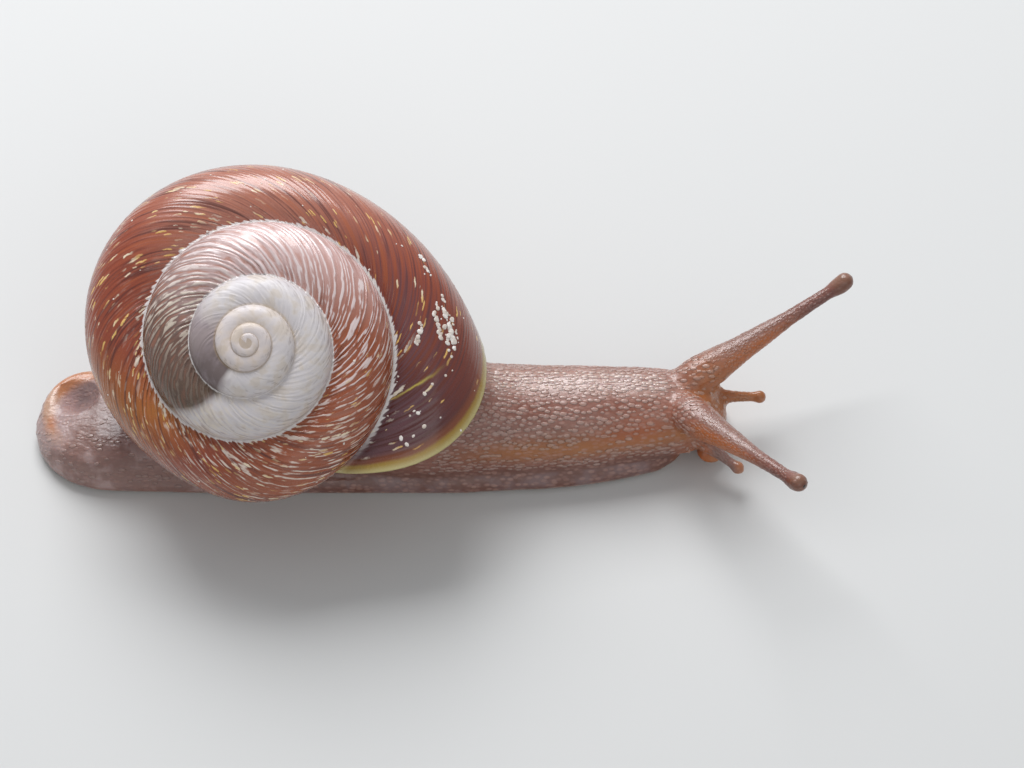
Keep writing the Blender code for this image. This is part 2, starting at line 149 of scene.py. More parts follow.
class SnailShellSettings(bpy.types.PropertyGroup):
    seam_at_lip: length("Seam at Lip", "Radius of the upper seam where it meets the lip", 10.7 * MM)
    growth_turns: number("Growth Turns", "Turns back to where the coil began to open", 10.5)
    growth_power: number("Growth Power", "How fast the coil opens", 5.1)
    seam_bulge: number("Seam Bulge", "Swelling of the seam opposite the lip", 0.07)
    spire_height: length("Spire Height", "From the apex down to the seam at the lip", 5.8 * MM)
    spire_power: number("Spire Power", "Above 1 rounds the spire into a dome", 1.25)
    oval: number("Oval", "How far the last whorl departs from round", 0.065)
    base_round: number("Base Ring", "Lowest ring as a share of the widest radius", 0.56)
    base_depth: number("Base Depth", "Depth of the base as a share of the radius", 0.47)
    lip_flare: length("Lip Flare", "How far the lip turns outwards", 0.4 * MM)
    lip_thickness: length("Lip Thickness", "Thickness of the shell at the lip", 0.28 * MM)
    rib_spacing: length("Rib Spacing", "Distance between growth ribs", 0.62 * MM)
    rib_height: length("Rib Height", "Height of the strongest growth ribs", 0.075 * MM)
    lines_per_turn: bpy.props.IntProperty(
        name="Lines per Turn", description="Mesh lines in one turn of the coil", default=720
    )
    body: colour("Body", "Reddish-brown of the last whorl", (0.26, 0.048, 0.018))
    dark: colour("Near the Lip", "Dark maroon behind the lip", (0.070, 0.008, 0.006))
    amber: colour("Amber", "Amber patches low on the whorl", (0.36, 0.115, 0.014))
    worn: colour("Worn Spire", "Pale worn whorls", (0.63, 0.585, 0.575))
    lip: colour("Lip Band", "Olive-yellow band along the lip", (0.33, 0.20, 0.026))


class SnailSkinSettings(bpy.types.PropertyGroup):
    detail: length("Detail", "Mesh size of the skin", 0.17 * MM)
    inset: length("Inset", "How far the skin lies inside the solid", 0.06 * MM)
    granule_spacing: length("Granule Spacing", "Least distance between granules on the neck", 0.34 * MM)
    granule_length: length("Granule Length", "Half the length of a granule", 0.29 * MM)
    granule_width: length("Granule Width", "Half the width of a granule", 0.145 * MM)
    granule_height: length("Granule Height", "How far a granule stands out", 0.034 * MM)
    back: colour("Back", "Pinkish-brown of the upper flank", (0.215, 0.078, 0.052))
    amber: colour("Flank", "Orange-brown band on the flank", (0.37, 0.125, 0.020))
    fringe: colour("Foot Fringe", "Lilac-grey edge of the foot", (0.25, 0.172, 0.175))
    feeler: colour("Feeler", "Maroon-brown of the outer feelers", (0.155, 0.040, 0.026))


class SnailStageSettings(bpy.types.PropertyGroup):
    lens: number("Lens", "Focal length", 180)
    elevation: bpy.props.FloatProperty(
        name="Elevation", description="Camera height as an angle", default=math.radians(55),
        subtype="ANGLE",
    )
    distance: length("Distance", "From the camera to the floor point it faces", 389.1 * MM)
    floor: colour("Floor", "Pale floor", (0.62, 0.62, 0.61))


# ---- Node trees ------------------------------------------------------------------------------
def put(tree, socket, value):
    if isinstance(value, Field):
        tree.links.new(value.socket, socket)
    else:
        socket.default_value = value


class Field:
    """A node's output that plain arithmetic joins with maths nodes."""

    def __init__(self, tree, socket):
        self.tree = tree
        self.socket = socket

    def maths(self, operation, *others):
        node = self.tree.nodes.new("ShaderNodeMath")
        node.operation = operation
        for socket, value in zip(node.inputs, (self, *others)):
            put(self.tree, socket, value)
        return Field(self.tree, node.outputs[0])

    def __add__(self, other):
        return self.maths("ADD", other)

    def __sub__(self, other):
        return self.maths("SUBTRACT", other)

    def __mul__(self, other):
        return self.maths("MULTIPLY", other)

    def __truediv__(self, other):
        return self.maths("DIVIDE", other)

    def __pow__(self, other):
        return self.maths("POWER", other)

    def __neg__(self):
        return self * -1.0

    def __rsub__(self, other):
        return self * -1.0 + other

    def sine(self):
        return self.maths("SINE")

    def cosine(self):
        return self.maths("COSINE")

    def clamped(self):
        return self.maths("MAXIMUM", 0.0).maths("MINIMUM", 1.0)

    def ramp(self, low, high):
        """0 at low and 1 at high, eased at both ends. Low may be the larger."""
        share = ((self - low) / (high - low)).clamped()
        return share * share * (share * -2.0 + 3.0)

    def band(self, middle, reach):
        """1 at the middle, falling away on both sides."""
        away = (self - middle) / reach
        return (away * away * -1.0).maths("EXPONENT")


def add_node(tree, kind, settings=None, **values):
    """A node with its settings, and its inputs set or joined by name."""
    node = tree.nodes.new(kind)
    for key, value in (settings or {}).items():
        setattr(node, key, value)
    for key, value in values.items():
        put(tree, node.inputs[key.replace("_", " ")], value)
    return node


def output(tree, node, which=0):
    return Field(tree, node.outputs[which])


def geometry_tree(name, inputs):
    """A geometry tree with named inputs, and a dictionary of them as fields."""
    tree = bpy.data.node_groups.new(name, "GeometryNodeTree")
    tree.is_modifier = True
    kinds = {float: "NodeSocketFloat", int: "NodeSocketInt"}
    for label, value in inputs.items():
        kind = kinds.get(type(value), value if isinstance(value, str) else None)
        socket = tree.interface.new_socket(label, in_out="INPUT", socket_type=kind)
        if type(value) in kinds:
            socket.default_value = value
    tree.interface.new_socket("Geometry", in_out="OUTPUT", socket_type="NodeSocketGeometry")
    start = tree.nodes.new("NodeGroupInput")
    return tree, {label: Field(tree, start.outputs[label]) for label in inputs}


def end_tree(tree, geometry, material):
    """Every tree ends by realizing its instances and setting the material."""
    real = add_node(tree, "GeometryNodeRealizeInstances", Geometry=geometry)
    painted = add_node(
        tree, "GeometryNodeSetMaterial", Geometry=output(tree, real), Material=material
    )
    tree.links.new(painted.outputs[0], tree.nodes.new("NodeGroupOutput").inputs[0])


def new_object(name, data):
    made = bpy.data.objects.new(name, data)
    bpy.context.scene.collection.objects.link(made)
    return made


def mesh_from(work, name):
    """Keeps the finished work as a mesh."""
    mesh = bpy.data.meshes.new(name)
    work.to_mesh(mesh)
    work.free()
    return mesh


def read_values(data, field, width=1):
    values = np.empty(len(data) * width, np.float32)
    data.foreach_get(field, values)
    return values


def store_values(mesh, name, values, kind="FLOAT"):
    """Keeps one number, or three, for each point of the mesh."""
    field = "value" if kind == "FLOAT" else "vector"
    kept = mesh.attributes.new(name, kind, "POINT")
    kept.data.foreach_set(field, np.asarray(values, np.float32).ravel())


def wear_one(mesh, material):
    """Puts one material on every face."""
    mesh.materials.clear()
    mesh.materials.append(material)
    mesh.polygons.foreach_set("material_index", [0] * len(mesh.polygons))


def run_tree(name, tree, values, mesh=None):
    """Runs the tree on a new object and keeps the result as a plain mesh."""
    host = new_object(name, mesh or bpy.data.meshes.new(name))
    maker = host.modifiers.new("maker", "NODES")
    maker.node_group = tree
    for item in tree.interface.items_tree:
        if item.in_out == "INPUT" and item.name in values:
            maker[item.identifier] = values[item.name]
    graph = bpy.context.evaluated_depsgraph_get()
    made = bpy.data.meshes.new_from_object(
        host.evaluated_get(graph), preserve_all_data_layers=True, depsgraph=graph
    )
    host.modifiers.clear()
    host.data = made
    made.name = name
    if not made.polygons:
        raise RuntimeError(f"{name} came out empty")
    wear_one(made, values["Material"])
    return host


# ---- Shader helpers --------------------------------------------------------------------------
def new_material(name):
    made = bpy.data.materials.new(name)
    made.use_nodes = True
    return made, made.node_tree, made.node_tree.nodes["Principled BSDF"]


def rgba(value):
    return (*value, 1.0)


def mix(tree, share, first, second):
    node = add_node(tree, "ShaderNodeMix", {"data_type": "RGBA"})
    put(tree, node.inputs[0], share)
    put(tree, node.inputs[6], first if isinstance(first, Field) else rgba(first))
    put(tree, node.inputs[7], second if isinstance(second, Field) else rgba(second))
    return Field(tree, node.outputs[2])


def noise(tree, vector, scale, detail=3.0):
    node = add_node(tree, "ShaderNodeTexNoise", Vector=vector, Scale=scale, Detail=detail)
    return output(tree, node)


def cells_of(tree, vector):
    """How far the middle of the nearest cell is, and two random numbers that the cell has."""
    cells = add_node(tree, "ShaderNodeTexVoronoi", Vector=vector, Scale=1.0)
    parts = add_node(tree, "ShaderNodeSeparateColor", Color=Field(tree, cells.outputs["Color"]))
    return output(tree, cells), output(tree, parts), output(tree, parts, 1)


def combine(tree, x, y, z=0.0):
    return output(tree, add_node(tree, "ShaderNodeCombineXYZ", X=x, Y=y, Z=z))


def attribute(tree, name):
    return Field(tree, add_node(tree, "ShaderNodeAttribute", {"attribute_name": name}).outputs["Fac"])


def place(tree):
    """The point on the object as a vector and as three lengths in millimetres."""
    vector = Field(tree, add_node(tree, "ShaderNodeTexCoord").outputs["Object"])
    parts = add_node(tree, "ShaderNodeSeparateXYZ", Vector=vector)
    return vector, [output(tree, parts, k) * (1 / MM) for k in range(3)]


def colour_ramp(tree, share, stops):
    node = add_node(tree, "ShaderNodeValToRGB", Fac=share)
    stages = node.color_ramp.elements
    while len(stages) < len(stops):
        stages.new(0.5)
    for stage, (position, value) in zip(stages, stops):
        stage.position = position
        stage.color = rgba(value)
    return output(tree, node)


def bump(tree, shader, height, distance, strength=1.0):
    node = add_node(tree, "ShaderNodeBump", Height=height, Distance=distance, Strength=strength)
    tree.links.new(node.outputs[0], shader.inputs["Normal"])


# ---- Shell -----------------------------------------------------------------------------------
def seam(sizes, turn):
    """Radius and height of the whorl's upper seam."""
    opened = (turn / sizes["Growth Turns"] + 1.0) ** sizes["Growth Power"]
    last_turn = turn.maths("GREATER_THAN", -1.0) * turn.maths("LESS_THAN", 0.0)
    wave = (turn * math.pi).sine()
    radius = opened * sizes["Seam at Lip"] * (last_turn * wave * wave * sizes["Seam Bulge"] + 1.0)
    height = -((radius / sizes["Seam at Lip"]) ** sizes["Spire Power"] * sizes["Spire Height"])
    return radius, height


def widest_edge(sizes, turn):
    radius, height = seam(sizes, turn + 1.0)
    sets_in = turn.ramp(-1.0, OVAL_FADE - 1.0)
    wave = (turn * (4 * math.pi) + OVAL_BEARING).cosine()
    return radius * (sets_in * sizes["Oval"] * wave + 1.0), height


def top_profile(sizes, turn, angle):
    inner, inner_height = seam(sizes, turn)
    outer, outer_height = widest_edge(sizes, turn)
    reach = (outer - inner) / (1 - math.sin(SEAM_PLACE))
    rise = (inner_height - outer_height) / math.cos(SEAM_PLACE)
    return outer - reach + reach * angle.sine(), outer_height + rise * angle.cosine()


def base_profile(sizes, turn, angle):
    outer, outer_height = widest_edge(sizes, turn)
    ring = outer * sizes["Base Ring"]
    return ring + (outer - ring) * angle.sine(), outer_height + outer * angle.cosine() * sizes["Base Depth"]


def store(tree, geometry, name, value, domain="POINT"):
    node = add_node(
        tree, "GeometryNodeStoreNamedAttribute", {"data_type": "FLOAT", "domain": domain},
        Geometry=geometry, Name=name, Value=value,
    )
    return output(tree, node)


def stored(tree, name, kind="FLOAT"):
    node = add_node(tree, "GeometryNodeInputNamedAttribute", {"data_type": kind}, Name=name)
    return output(tree, node)


def growth_ribs(tree, sizes, growth, across):
    """How far along the coil a growth line is, and how high its rib stands, from 0 to 1."""
    opened = growth / sizes["Growth Turns"] + 1.0
    power = sizes["Growth Power"] + 1.0
    length_so_far = sizes["Seam at Lip"] * sizes["Growth Turns"] / power * (2 * math.pi * 1.3)
    along = opened**power * length_so_far
    ribs = along / sizes["Rib Spacing"]
    drift = noise(tree, combine(tree, ribs * 0.4, across * 0.5), 1.0, 2.0) - 0.5
    ripple = noise(tree, combine(tree, ribs * 0.9, across * 3.4, 5.0), 1.0, 2.0) - 0.5
    wave = ((ribs + drift * 3.4 + ripple * 1.5) * (2 * math.pi)).sine()
    return along, ribs, wave * 0.5 + 0.5


def shell_grid(tree, sizes, lines, rows, place_of, profile, meets_next_whorl):
    """One curved patch of the shell, with its growth, its place across and its rib height stored.

    The values for the finish are kept on the corners of the faces, so that the whorls keep their own
    where they are welded.
    """
    grid = add_node(tree, "GeometryNodeMeshGrid", Vertices_X=lines + 1.0, Vertices_Y=rows + 1.0)
    index = output(tree, add_node(tree, "GeometryNodeInputIndex"))
    line = (index / (rows + 1.0)).maths("FLOOR")
    row = index - line * (rows + 1.0)
    growth, turn, angle = place_of(line, row)
    radius, height = profile(sizes, turn, angle)
    edge = angle.maths("MAXIMUM", 0.0).maths("MINIMUM", math.pi).sine()
    radius = radius + (growth / FLARE_TURNS).maths("EXPONENT") * edge * sizes["Lip Flare"]
    bearing = turn * (-2 * math.pi) + LIP_BEARING
    spot = combine(tree, radius * bearing.cosine(), radius * bearing.sine(), height)
    shaped = add_node(tree, "GeometryNodeSetPosition", Geometry=output(tree, grid), Position=spot)
    geometry = store(tree, output(tree, shaped), "growth_here", growth)
    geometry = store(tree, geometry, "across_here", angle)
    growth, angle = stored(tree, "growth_here"), stored(tree, "across_here")
    along, ribs, rib = growth_ribs(tree, sizes, growth, angle)
    uneven = noise(tree, combine(tree, ribs * 0.25, 3.0), 1.0, 2.0).ramp(0.3, 0.7) * 0.9 + 0.25
    strength = growth.band(-1.3, 0.45) * 0.8 + growth.ramp(-3.6, -2.2) * 0.28 + 0.05
    beads = angle.band(SEAM_PLACE + 0.16, 0.14) * 1.6 + 1.0
    lift = (rib - 0.5) * uneven * strength * beads * growth.ramp(0.0, -0.03)
    free = growth.ramp(LEAN - 1.01, LEAN - 0.98)
    if meets_next_whorl:
        lift = lift * angle.ramp(SEAM_PLACE, SEAM_PLACE + 0.1)
        lift = lift * (free + (1.0 - free) * angle.ramp(WIDEST, WIDEST - 0.1))
    else:
        lift = lift * free
    geometry = store(tree, geometry, "lift", lift * sizes["Rib Height"])
    for name, value in (("growth", growth), ("across", angle), ("rib", rib), ("along", along)):
        geometry = store(tree, geometry, name, value, "CORNER")
    return geometry


def shell_tree():
    """The coiled wall: top of every whorl, then the rounded base of the last one, then the growth ribs."""
    tree, sizes = geometry_tree("Coiled Shell", {
        "Lines per Turn": 720, "Rows": PROFILE_ROWS, "Seam at Lip": 0.0, "Growth Turns": 1.0,
        "Growth Power": 1.0, "Seam Bulge": 0.0, "Spire Height": 0.0, "Spire Power": 1.0,
        "Oval": 0.0, "Base Ring": 0.5, "Base Depth": 0.5, "Lip Flare": 0.0,
        "Rib Spacing": 1.0, "Rib Height": 0.0, "Material": "NodeSocketMaterial",
    })
    per_turn, rows = sizes["Lines per Turn"], sizes["Rows"]

    def top_place(line, row):
        growth = line / per_turn - FIRST_TURN
        share = row / rows
        return growth, growth - share * LEAN, share * (WIDEST - SEAM_PLACE) + SEAM_PLACE

    def base_place(line, row):
        share = line / (per_turn * (1 - LEAN))
        angle = row / rows * (BASE_END - WIDEST) + WIDEST
        lean = (angle - SEAM_PLACE) / (WIDEST - SEAM_PLACE) * -LEAN
        start = lean + (LEAN - 1.0)
        return (share - 1.0) * (1 - LEAN), start + share * (lean - start), angle

    top = shell_grid(tree, sizes, per_turn * FIRST_TURN, rows, top_place, top_profile, True)
    base = shell_grid(tree, sizes, per_turn * (1 - LEAN), rows, base_place, base_profile, False)
    join = tree.nodes.new("GeometryNodeJoinGeometry")
    for patch in (base, top):
        tree.links.new(patch.socket, join.inputs[0])
    weld = add_node(tree, "GeometryNodeMergeByDistance", Geometry=output(tree, join), Distance=2e-7)
    normal = output(tree, add_node(tree, "GeometryNodeInputNormal"))
    offset = add_node(tree, "ShaderNodeVectorMath", {"operation": "SCALE"}, Scale=stored(tree, "lift"))
    put(tree, offset.inputs[0], normal)
    raised = add_node(
        tree, "GeometryNodeSetPosition", Geometry=output(tree, weld), Offset=output(tree, offset)
    )
    smooth = add_node(tree, "GeometryNodeSetShadeSmooth", Geometry=output(tree, raised))
    end_tree(tree, output(tree, smooth), sizes["Material"])
    return tree


def shell_matrix():
    """Turns the coil's own axes to where the shell stands on the back."""
    flat = math.cos(AXIS_RISE)
    axis = Vector((math.sin(AXIS_YAW) * flat, -math.cos(AXIS_YAW) * flat, math.sin(AXIS_RISE)))
    first = (Vector((1, 0, 0)) - axis * axis.x).normalized()
    turned = Matrix((first, axis.cross(first), axis)).transposed().to_4x4()
    return Matrix.Translation(APEX) @ turned


def boundary_loops(work):
    """The open edges, as lists of points in order."""
    left = {edge for edge in work.edges if edge.is_boundary}
    loops = []
    while left:
        edge = left.pop()
        loop = [edge.verts[0], edge.verts[1]]
        while True:
            onward = [e for e in loop[-1].link_edges if e in left]
            if not onward:
                break
            left.discard(onward[0])
            loop.append(onward[0].other_vert(loop[-1]))
        loops.append(loop[:-1] if loop[0] is loop[-1] else loop)
    return sorted(loops, key=len)


def close_with_fan(work, loop, centre):
    middle = work.verts.new(centre)
    for here, there in zip(loop, loop[1:] + loop[:1]):
        work.faces.new((here, there, middle))


def ring_inside(work, loop, points):
    """Faces from the loop to a new ring of points, which becomes the loop."""
    ring = [work.verts.new(point) for point in points]
    for k, vert in enumerate(loop):
        after = (k + 1) % len(loop)
        work.faces.new((vert, loop[after], ring[after], ring[k]))
    return ring


def carry_values(work, before):
    """Gives the faces that close the shell the growth and place across of the points they start from."""
    layers = [
        (work.loops.layers.float[name], work.verts.layers.float[name + "_here"])
        for name in ("growth", "across")
    ]
    for face in work.faces:
        if face in before:
            continue
        known = [loop for loop in face.loops if loop.vert[layers[0][1]] != 0.0]
        for corner, point in layers:
            mean = sum(loop.vert[point] for loop in known) / len(known) if known else 0.0
            for loop in face.loops:
                loop[corner] = mean


def close_shell(mesh, thickness):
    """Closes the apex and the navel, and turns the lip in to a thin wall inside the mouth.

    It works in the coil's own axes, before the shell is set on the back.
    """
    work = bmesh.new()
    work.from_mesh(mesh)
    across = work.verts.layers.float["across_here"]
    before = set(work.faces)
    loops = boundary_loops(work)
    for loop in loops[:-1]:
        middle = sum((vert.co for vert in loop), Vector()) / len(loop)
        close_with_fan(work, loop, middle + Vector((0, 0, APEX_RISE)))
    navel = [vert for vert in loops[-1] if vert[across] > BASE_END - 0.001]
    mean_height = sum(vert.co.z for vert in navel) / len(navel)
    middle = work.verts.new((0, 0, mean_height + NAVEL_DEPTH))
    on_navel = set(navel)
    for edge in [e for e in work.edges if e.is_boundary and on_navel.issuperset(e.verts)]:
        work.faces.new((*edge.verts, middle))
    mouth = boundary_loops(work)[-1]
    centre = sum((vert.co for vert in mouth), Vector()) / len(mouth)
    upwards = Vector((0, 0, 1))
    rim = [vert.co.copy() for vert in mouth]
    for inset, rise in ((0.35, -0.1), (0.8, 0.0), (1.0, 0.4)):
        points = []
        for point in rim:
            away = centre - point
            step = min(thickness * inset, away.length * 0.5)
            points.append(point + away.normalized() * step + upwards * thickness * rise)
        mouth = ring_inside(work, mouth, points)
    close_with_fan(work, mouth, centre + upwards * MOUTH_RISE)
    carry_values(work, before)
    bmesh.ops.recalc_face_normals(work, faces=work.faces)
    if work.calc_volume(signed=True) < 0:
        bmesh.ops.reverse_faces(work, faces=work.faces)
    open_edges = sum(1 for edge in work.edges if not edge.is_manifold)
    work.to_mesh(mesh)
    work.free()
    if open_edges:
        raise RuntimeError(f"the shell has {open_edges} edges that are not closed")


# Tones of the shell. The settings hold the four others: chalk, amber, chestnut and maroon.
# The two pink tones, at the top of the second whorl and the upper left of the last, are partly the shell's
# own colour and partly a painted sheen of sky light.
SHELL_TONES = {
    "cream": (0.65, 0.56, 0.51), "smoke": (0.15, 0.112, 0.108), "thin smoke": (0.34, 0.275, 0.275),
    "olive brown": (0.085, 0.052, 0.032), "umber": (0.15, 0.078, 0.058), "pale pink and sheen": (0.64, 0.46, 0.44),
    "russet": (0.30, 0.070, 0.022), "warm pink and sheen": (0.40, 0.150, 0.100),
}
# Painted reflection: the smoke tones on the third whorl and the olive brown on the second make a darker
# patch where the wet shell reflects no sky.
# Age in turns, 0 at the lip and lower toward the apex, at which each tone is met. Each blends into
# the next.
SHELL_AGES = (
    (-3.60, "cream"), (-3.00, "chalk"), (-2.82, "chalk"), (-2.80, "smoke"), (-2.72, "smoke"),
    (-2.61, "thin smoke"), (-2.50, "chalk"), (-1.835, "chalk"), (-1.815, "olive brown"),
    (-1.65, "umber"), (-1.46, "pale pink and sheen"), (-1.38, "pale pink and sheen"), (-1.20, "russet"), (-0.94, "russet"),
    (-0.86, "chestnut"), (-0.76, "amber"), (-0.68, "chestnut"), (-0.58, "chestnut"),
    (-0.50, "warm pink and sheen"), (-0.38, "warm pink and sheen"), (-0.26, "chestnut"), (-0.12, "maroon"), (-0.02, "maroon"),
)


def shell_material(settings):
    made, tree, shader = new_material("shell_wet_brown")
    growth, across, rib, along = (attribute(tree, n) for n in ("growth", "across", "rib", "along"))
    vector, _ = place(tree)
    cloud = noise(tree, vector, 300.0, 4.0)
    fine = noise(tree, vector, 2400.0, 3.0)
    along_mm = along * (1 / MM)
    over = (across - SEAM_PLACE) * 6.0
    share = ((across - SEAM_PLACE) / (WIDEST - SEAM_PLACE)).clamped()
    age = growth - share * (growth.ramp(-2.2, -1.9) * 0.08 + 0.14) + (cloud - 0.5) * 0.035

    first, last = SHELL_AGES[0][0], 0.0
    tones = dict(SHELL_TONES, amber=settings.amber, chestnut=settings.body, maroon=settings.dark,
                 chalk=settings.worn)
    base = colour_ramp(tree, (age - first) / (last - first), [
        ((turn - first) / (last - first), tones[name]) for turn, name in SHELL_AGES
    ])
    old = age.ramp(-1.80, -1.84)
    mottle = noise(tree, vector, 900.0, 3.0)
    # Painted reflection: the smoky band and the dark patch darken the worn whorls where the wet shell
    # reflects no sky.
    clean = (age.ramp(-2.60, -2.48) + age.ramp(-2.80, -2.88)) * old
    no_sky_reflection_patch = age.ramp(-1.835, -1.815) * age.ramp(-1.60, -1.74)
    no_sky_reflection_band = (1.0 - clean) * old
    base = mix(tree, no_sky_reflection_band * mottle.ramp(0.45, 0.65) * 0.5, base, (0.27, 0.215, 0.235))
    base = mix(tree, no_sky_reflection_patch * mottle.ramp(0.50, 0.70) * 0.5, base, (0.17, 0.105, 0.062))
    base = mix(tree, clean * mottle.ramp(0.42, 0.62) * 0.4, base, (0.54, 0.515, 0.555))
    base = mix(tree, clean * mottle.ramp(0.50, 0.36) * 0.35, base, (0.50, 0.40, 0.28))

    lines = noise(tree, combine(tree, along_mm * 2.6, over * 0.16), 1.0, 4.0)
    dark_lines = lines.ramp(0.50, 0.66) * growth.ramp(-1.1, -0.9)
    base = mix(tree, dark_lines * 0.7, base, (0.060, 0.009, 0.008))
    warm_lines = lines.ramp(0.46, 0.34) * growth.ramp(-1.1, -0.9) * growth.ramp(-0.05, -0.2)
    base = mix(tree, warm_lines * 0.45, base, (0.40, 0.10, 0.030))
    sheen = share.ramp(0.75, 0.1) * growth.ramp(-0.34, -0.16) * lines.ramp(0.40, 0.55)
    base = mix(tree, sheen * 0.4, base, (0.16, 0.075, 0.095))

    breaks = noise(tree, combine(tree, along_mm * 1.6, over * 0.7), 1.0, 3.0)
    ribbed = (growth.band(-1.32, 0.48) * 1.3 + growth.band(-0.84, 0.10) * 0.7).clamped()
    gaps = (breaks - growth.ramp(-1.15, -0.92) * 0.09).ramp(0.38, 0.50)
    pale_ribs = rib.ramp(0.56, 0.82) * gaps * ribbed * (1.0 - no_sky_reflection_patch * 0.85)
    pale = mix(tree, growth.ramp(-1.1, -0.95), (0.74, 0.63, 0.62), (0.76, 0.64, 0.55))
    pale = mix(tree, growth.ramp(-1.40, -1.55), pale, (0.70, 0.61, 0.50))
    base = mix(tree, pale_ribs * 0.85, base, pale)
    streaks = rib.ramp(0.30, 0.05) * growth.band(-1.43, 0.24) * breaks.ramp(0.34, 0.55)
    base = mix(tree, streaks * 0.6, base, (0.40, 0.14, 0.075))
    threads = rib.ramp(0.35, 0.05) * old * share.ramp(0.25, 0.8) * breaks.ramp(0.40, 0.60)
    base = mix(tree, threads * 0.55, base, (0.27, 0.22, 0.20))

    ragged = noise(tree, vector, 1700.0, 3.0)

    def flecks_of(across_scale, along_scale, chance, clumps):
        warped = combine(
            tree, along_mm * along_scale + (fine - 0.5) * 1.1, over * across_scale + (ragged - 0.5) * 1.1
        )
        away, pick, size = cells_of(tree, warped)
        chosen = (pick + chance).maths("GREATER_THAN", 1.0)
        return (away / (size * 0.6 + 0.55)).ramp(0.46, 0.28) * chosen * clumps

    clumps = noise(tree, combine(tree, along_mm * 0.45, over * 0.35), 1.0, 2.0).ramp(0.36, 0.56)
    zone = growth.band(-0.62, 0.30) * 0.36 + growth.band(-0.95, 0.14) * 0.22 + 0.10
    flecks = flecks_of(1.05, 2.7, zone, clumps) * growth.ramp(-1.2, -0.95)
    fleck_tone = mix(tree, cloud.ramp(0.45, 0.6), (0.74, 0.46, 0.13), (0.80, 0.68, 0.50))
    base = mix(tree, flecks * 0.92, base, fleck_tone)
    waver = growth - share * 0.05 + (cloud - 0.5) * 0.016 + (mottle - 0.5) * 0.006
    vein = waver.band(-0.1, 0.0015) * share.band(0.2, 0.15)
    base = mix(tree, vein.clamped() * 0.9, base, (0.50, 0.40, 0.07))

    reach = rib * growth.ramp(-1.25, -0.9) * 0.045 + lines * 0.03 + (breaks - 0.42) * 0.13 + 0.010
    crust = (across - SEAM_PLACE - reach).ramp(0.014, -0.010) * growth.ramp(-2.15, -1.9)
    base = mix(tree, crust * growth.ramp(-0.02, -0.08) * 0.9, base, (0.80, 0.75, 0.73))
    by_the_seam = share.ramp(0.24, 0.06) * breaks.ramp(0.35, 0.5)
    dashes = flecks_of(0.8, 1.5, 0.26, by_the_seam) * growth.ramp(-1.1, -0.9)
    base = mix(tree, dashes * 0.9, base, (0.76, 0.68, 0.56))
    tan_line = across.ramp(SEAM_PLACE + 0.15, SEAM_PLACE + 0.02) * growth.ramp(-2.0, -2.2)
    base = mix(tree, tan_line * 0.55, base, (0.38, 0.27, 0.16))

    edge = growth + (cloud - 0.5) * 0.006
    lip = mix(tree, edge.ramp(-0.010, -0.001), settings.lip, (0.48, 0.405, 0.17))
    glow = edge.ramp(-0.028, -0.014)
    base = mix(tree, glow * 0.6, base, (0.26, 0.070, 0.012))
    base = mix(tree, edge.ramp(-0.0150, -0.0095), base, lip)

    put(tree, shader.inputs["Base Color"], base)
    put(tree, shader.inputs["Roughness"], old * 0.24 + fine * 0.14 + flecks * 0.2 + 0.20)
    put(tree, shader.inputs["Coat Weight"], 0.70 - old * 0.45)
    shader.inputs["Coat Roughness"].default_value = 0.14
    shader.inputs["Coat IOR"].default_value = 1.4
    bump(tree, shader, lines * 0.7 + fine * 0.18 + flecks * 0.4 + mottle * old * 0.7, 0.05 * MM, 0.7)
    return made


class SNAIL_OT_shell(bpy.types.Operator):
    """Coiled shell with growth ribs, a flared lip and a worn spire"""

    bl_idname = "snail.shell"
    bl_label = "Make Shell"

    def execute(self, context):
        settings = context.scene.snail_shell
        shell = run_tree("shell_coil", shell_tree(), {
            "Lines per Turn": settings.lines_per_turn, "Rows": PROFILE_ROWS,
            "Seam at Lip": settings.seam_at_lip, "Growth Turns": settings.growth_turns,
            "Growth Power": settings.growth_power, "Seam Bulge": settings.seam_bulge,
            "Spire Height": settings.spire_height, "Spire Power": settings.spire_power,
            "Oval": settings.oval, "Base Ring": settings.base_round,
            "Base Depth": settings.base_depth, "Lip Flare": settings.lip_flare,
            "Rib Spacing": settings.rib_spacing, "Rib Height": settings.rib_height,
            "Material": shell_material(settings),
        })
        close_shell(shell.data, settings.lip_thickness)
        shell.data.transform(shell_matrix())
        shell.data.shade_smooth()
        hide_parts("shell")
        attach(shell, "root")
        return {"FINISHED"}


# ---- Skin ------------------------------------------------------------------------------------
def points_of(mesh):
    return read_values(mesh.vertices, "co", 3).reshape(-1, 3).astype(float)


def normals_of(mesh):
    return read_values(mesh.vertex_normals, "vector", 3).reshape(-1, 3).astype(float)


def set_points(mesh, points):
    mesh.vertices.foreach_set("co", points.astype(np.float32).ravel())
    mesh.update()


def swollen_copy(node, amount):
    """A welded copy of a solid, pushed out so that it meets its neighbours."""
    mesh = frame["nodes"][node].data.copy()
    work = bmesh.new()
    work.from_mesh(mesh)
    bmesh.ops.remove_doubles(work, verts=work.verts, dist=1e-7)
    work.to_mesh(mesh)
    work.free()
    set_points(mesh, points_of(mesh) + normals_of(mesh) * amount)
    return mesh


def apply_modifiers(thing):
    graph = bpy.context.evaluated_depsgraph_get()
    made = bpy.data.meshes.new_from_object(thing.evaluated_get(graph), depsgraph=graph)
    thing.modifiers.clear()
    thing.data = made


def add_ball(work, centre, radii):
    made = bmesh.ops.create_uvsphere(work, u_segments=20, v_segments=12, radius=1.0)
    for vert in made["verts"]:
        vert.co = Vector(centre) * MM + Vector(a * b for a, b in zip(vert.co, radii)) * MM


def distance_from(middle, parts):
    """How far a point is from the middle, over as many axes as the middle has."""
    squares = [(part - there) ** 2.0 for part, there in zip(parts, middle)]
    return sum(squares[1:], squares[0]).maths("SQRT")


